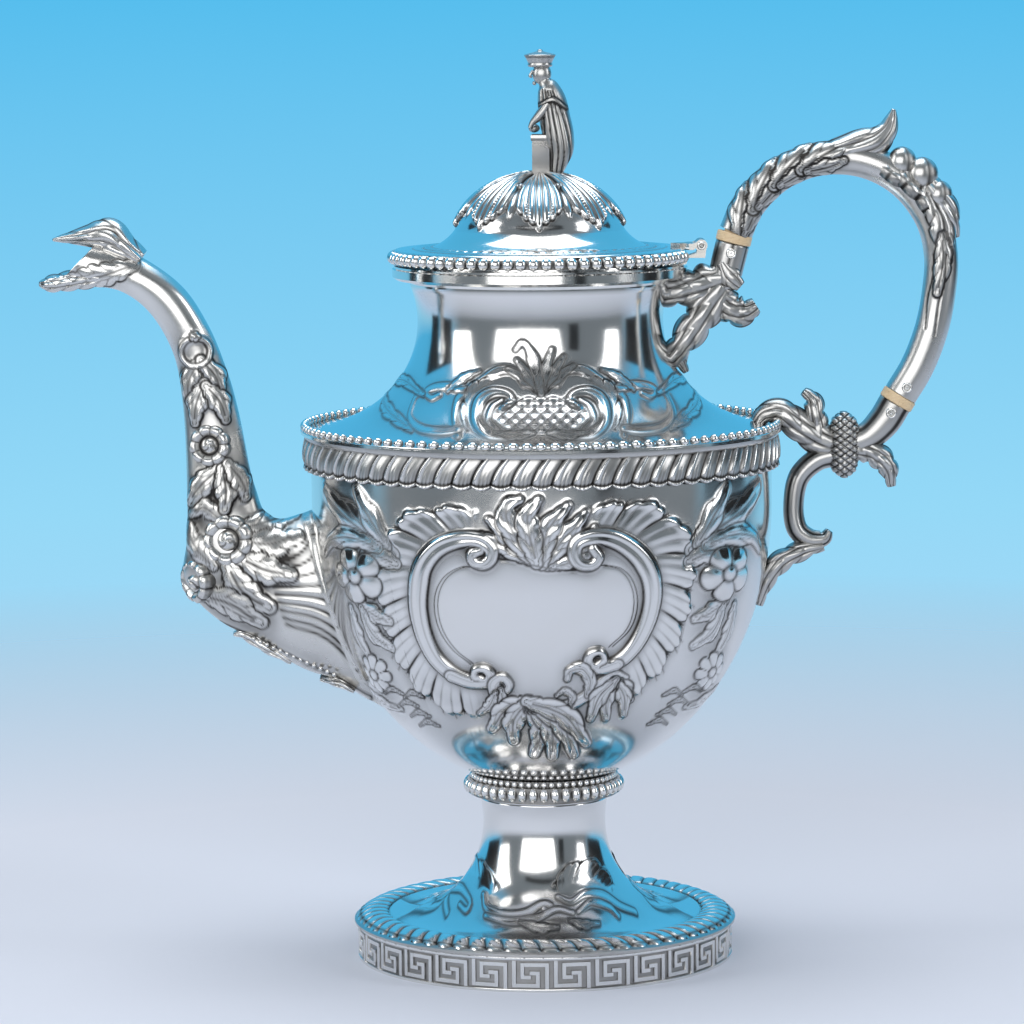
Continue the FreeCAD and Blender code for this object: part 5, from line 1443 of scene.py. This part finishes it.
def pale_floor():
    """Round floor that keeps the pot's shadow and fades out into the air round it."""
    material, shader, place = new_material("pale_floor")
    tree = place.tree
    shader.inputs["Base Color"].default_value = FLOOR_PALE
    shader.inputs["Roughness"].default_value = 0.9
    shader.inputs["Specular IOR Level"].default_value = 0.1
    far = place.node("ShaderNodeVectorMath", {"operation": "LENGTH"}, n0=place)
    fade = (Value(tree, far.outputs["Value"]) * 1.4 - 0.45).clamp()
    clear = tree.nodes.new("ShaderNodeBsdfTransparent")
    mix = place.node("ShaderNodeMixShader", Fac=fade)
    tree.links.new(shader.outputs[0], mix.inputs[1])
    tree.links.new(clear.outputs[0], mix.inputs[2])
    tree.links.new(mix.outputs[0], tree.nodes["Material Output"].inputs["Surface"])
    profile = np.column_stack([np.linspace(1100, 1, 12), np.zeros(12)])
    turns = even_turns(64)
    points = turned_points(profile, turns)
    return mesh_object("pale_floor", points.reshape(-1, 3), grid_faces(12, 64, True), material)


def studio_air():
    """Even grey air for the light; the eye, and reflections of what is behind, see a soft blue backdrop."""
    world = bpy.data.worlds.new("studio_air")
    bpy.context.scene.world = world
    world.use_nodes = True
    tree = world.node_tree
    way = Value(tree, tree.nodes.new("ShaderNodeTexCoord").outputs["Generated"])
    split = way.node("ShaderNodeSeparateXYZ", Vector=way)
    back, up = Value(tree, split.outputs["Y"]), Value(tree, split.outputs["Z"])
    rise = (up * 4.35 + 1.0).clamp()
    low = (rise * 2.0).clamp().blend(BACKDROP_LOW, BACKDROP_MIDDLE)
    seen = (rise * 2.0 - 1.0).clamp().blend(low, BACKDROP_HIGH)
    path = way.node("ShaderNodeLightPath")
    behind = (back * 3.0 + 0.5).clamp() * Value(tree, path.outputs["Is Glossy Ray"])
    share = behind.math("MAXIMUM", Value(tree, path.outputs["Is Camera Ray"]))
    colour = share.blend(AIR_GREY, seen)
    tree.links.new(colour.socket, tree.nodes["Background"].inputs["Color"])


def studio():
    """Soft lamps, dark cards for reflections, floor and air."""
    studio_air()
    lamps = [
        card("front_softbox", (-0.40, -1.9, 0.74), (2.3, 1.4), (0, 0, 0.2), (1.0, 1.0, 1.0), 25.5),
        card("left_softbox", (-1.3, -0.3, 0.7), (0.5, 1.1), (0, 0, 0.16), (1.0, 0.99, 0.97), 6.0),
        card("right_softbox", (1.3, -0.5, 0.7), (0.35, 1.1), (0, 0, 0.16), (0.97, 0.98, 1.0), 5.0),
        card("top_softbox", (0.0, 0.2, 1.6), (1.2, 1.0), (0, 0, 0.1), (1.0, 1.0, 1.0), 13.0),
    ]
    cards = [
        card("dark_card_left", (-0.95, 0.25, 0.34), (0.55, 0.62), (0, 0, 0.2), CARD_DARK),
        card("dark_card_right", (0.95, 0.20, 0.34), (0.60, 0.62), (0, 0, 0.2), CARD_DARK),
        card("dark_card_front", (0.50, -0.85, 0.30), (0.16, 0.5), (0, 0, 0.2), CARD_DARK),
        card("dark_card_top", (0.0, -0.7, 0.85), (1.0, 0.12), (0, 0, 0.2), CARD_DARK),
    ]
    pale_floor()


def camera():
    """Long lens a little above the middle of the pot."""
    data = bpy.data.cameras.new("camera")
    data.sensor_width = CAMERA_SENSOR
    data.lens = CAMERA_LENS
    data.clip_end = 50.0
    made = bpy.data.objects.new("camera", data)
    tilt = Matrix.Rotation(math.pi / 2 - CAMERA_DOWN, 3, "X")
    turn = Matrix.Rotation(CAMERA_SWING, 3, "Z") @ tilt @ Matrix.Rotation(CAMERA_ROLL, 3, "Z")
    made.matrix_world = Matrix.Translation(CAMERA_PLACE) @ turn.to_4x4()
    bpy.context.scene.collection.objects.link(made)
    bpy.context.scene.camera = made


plain_fittings()
bowl_skins()
neck_skins()
stem_skins()
lid_skin()
bead_rings()
shoulder_gadroon()
foot_gadroon()
key_fret()
spout()
handle()
upper_socket()
lower_bracket()
pin_heads()
finial()
studio()
camera()
bpy.context.scene.view_settings.view_transform = "Standard"
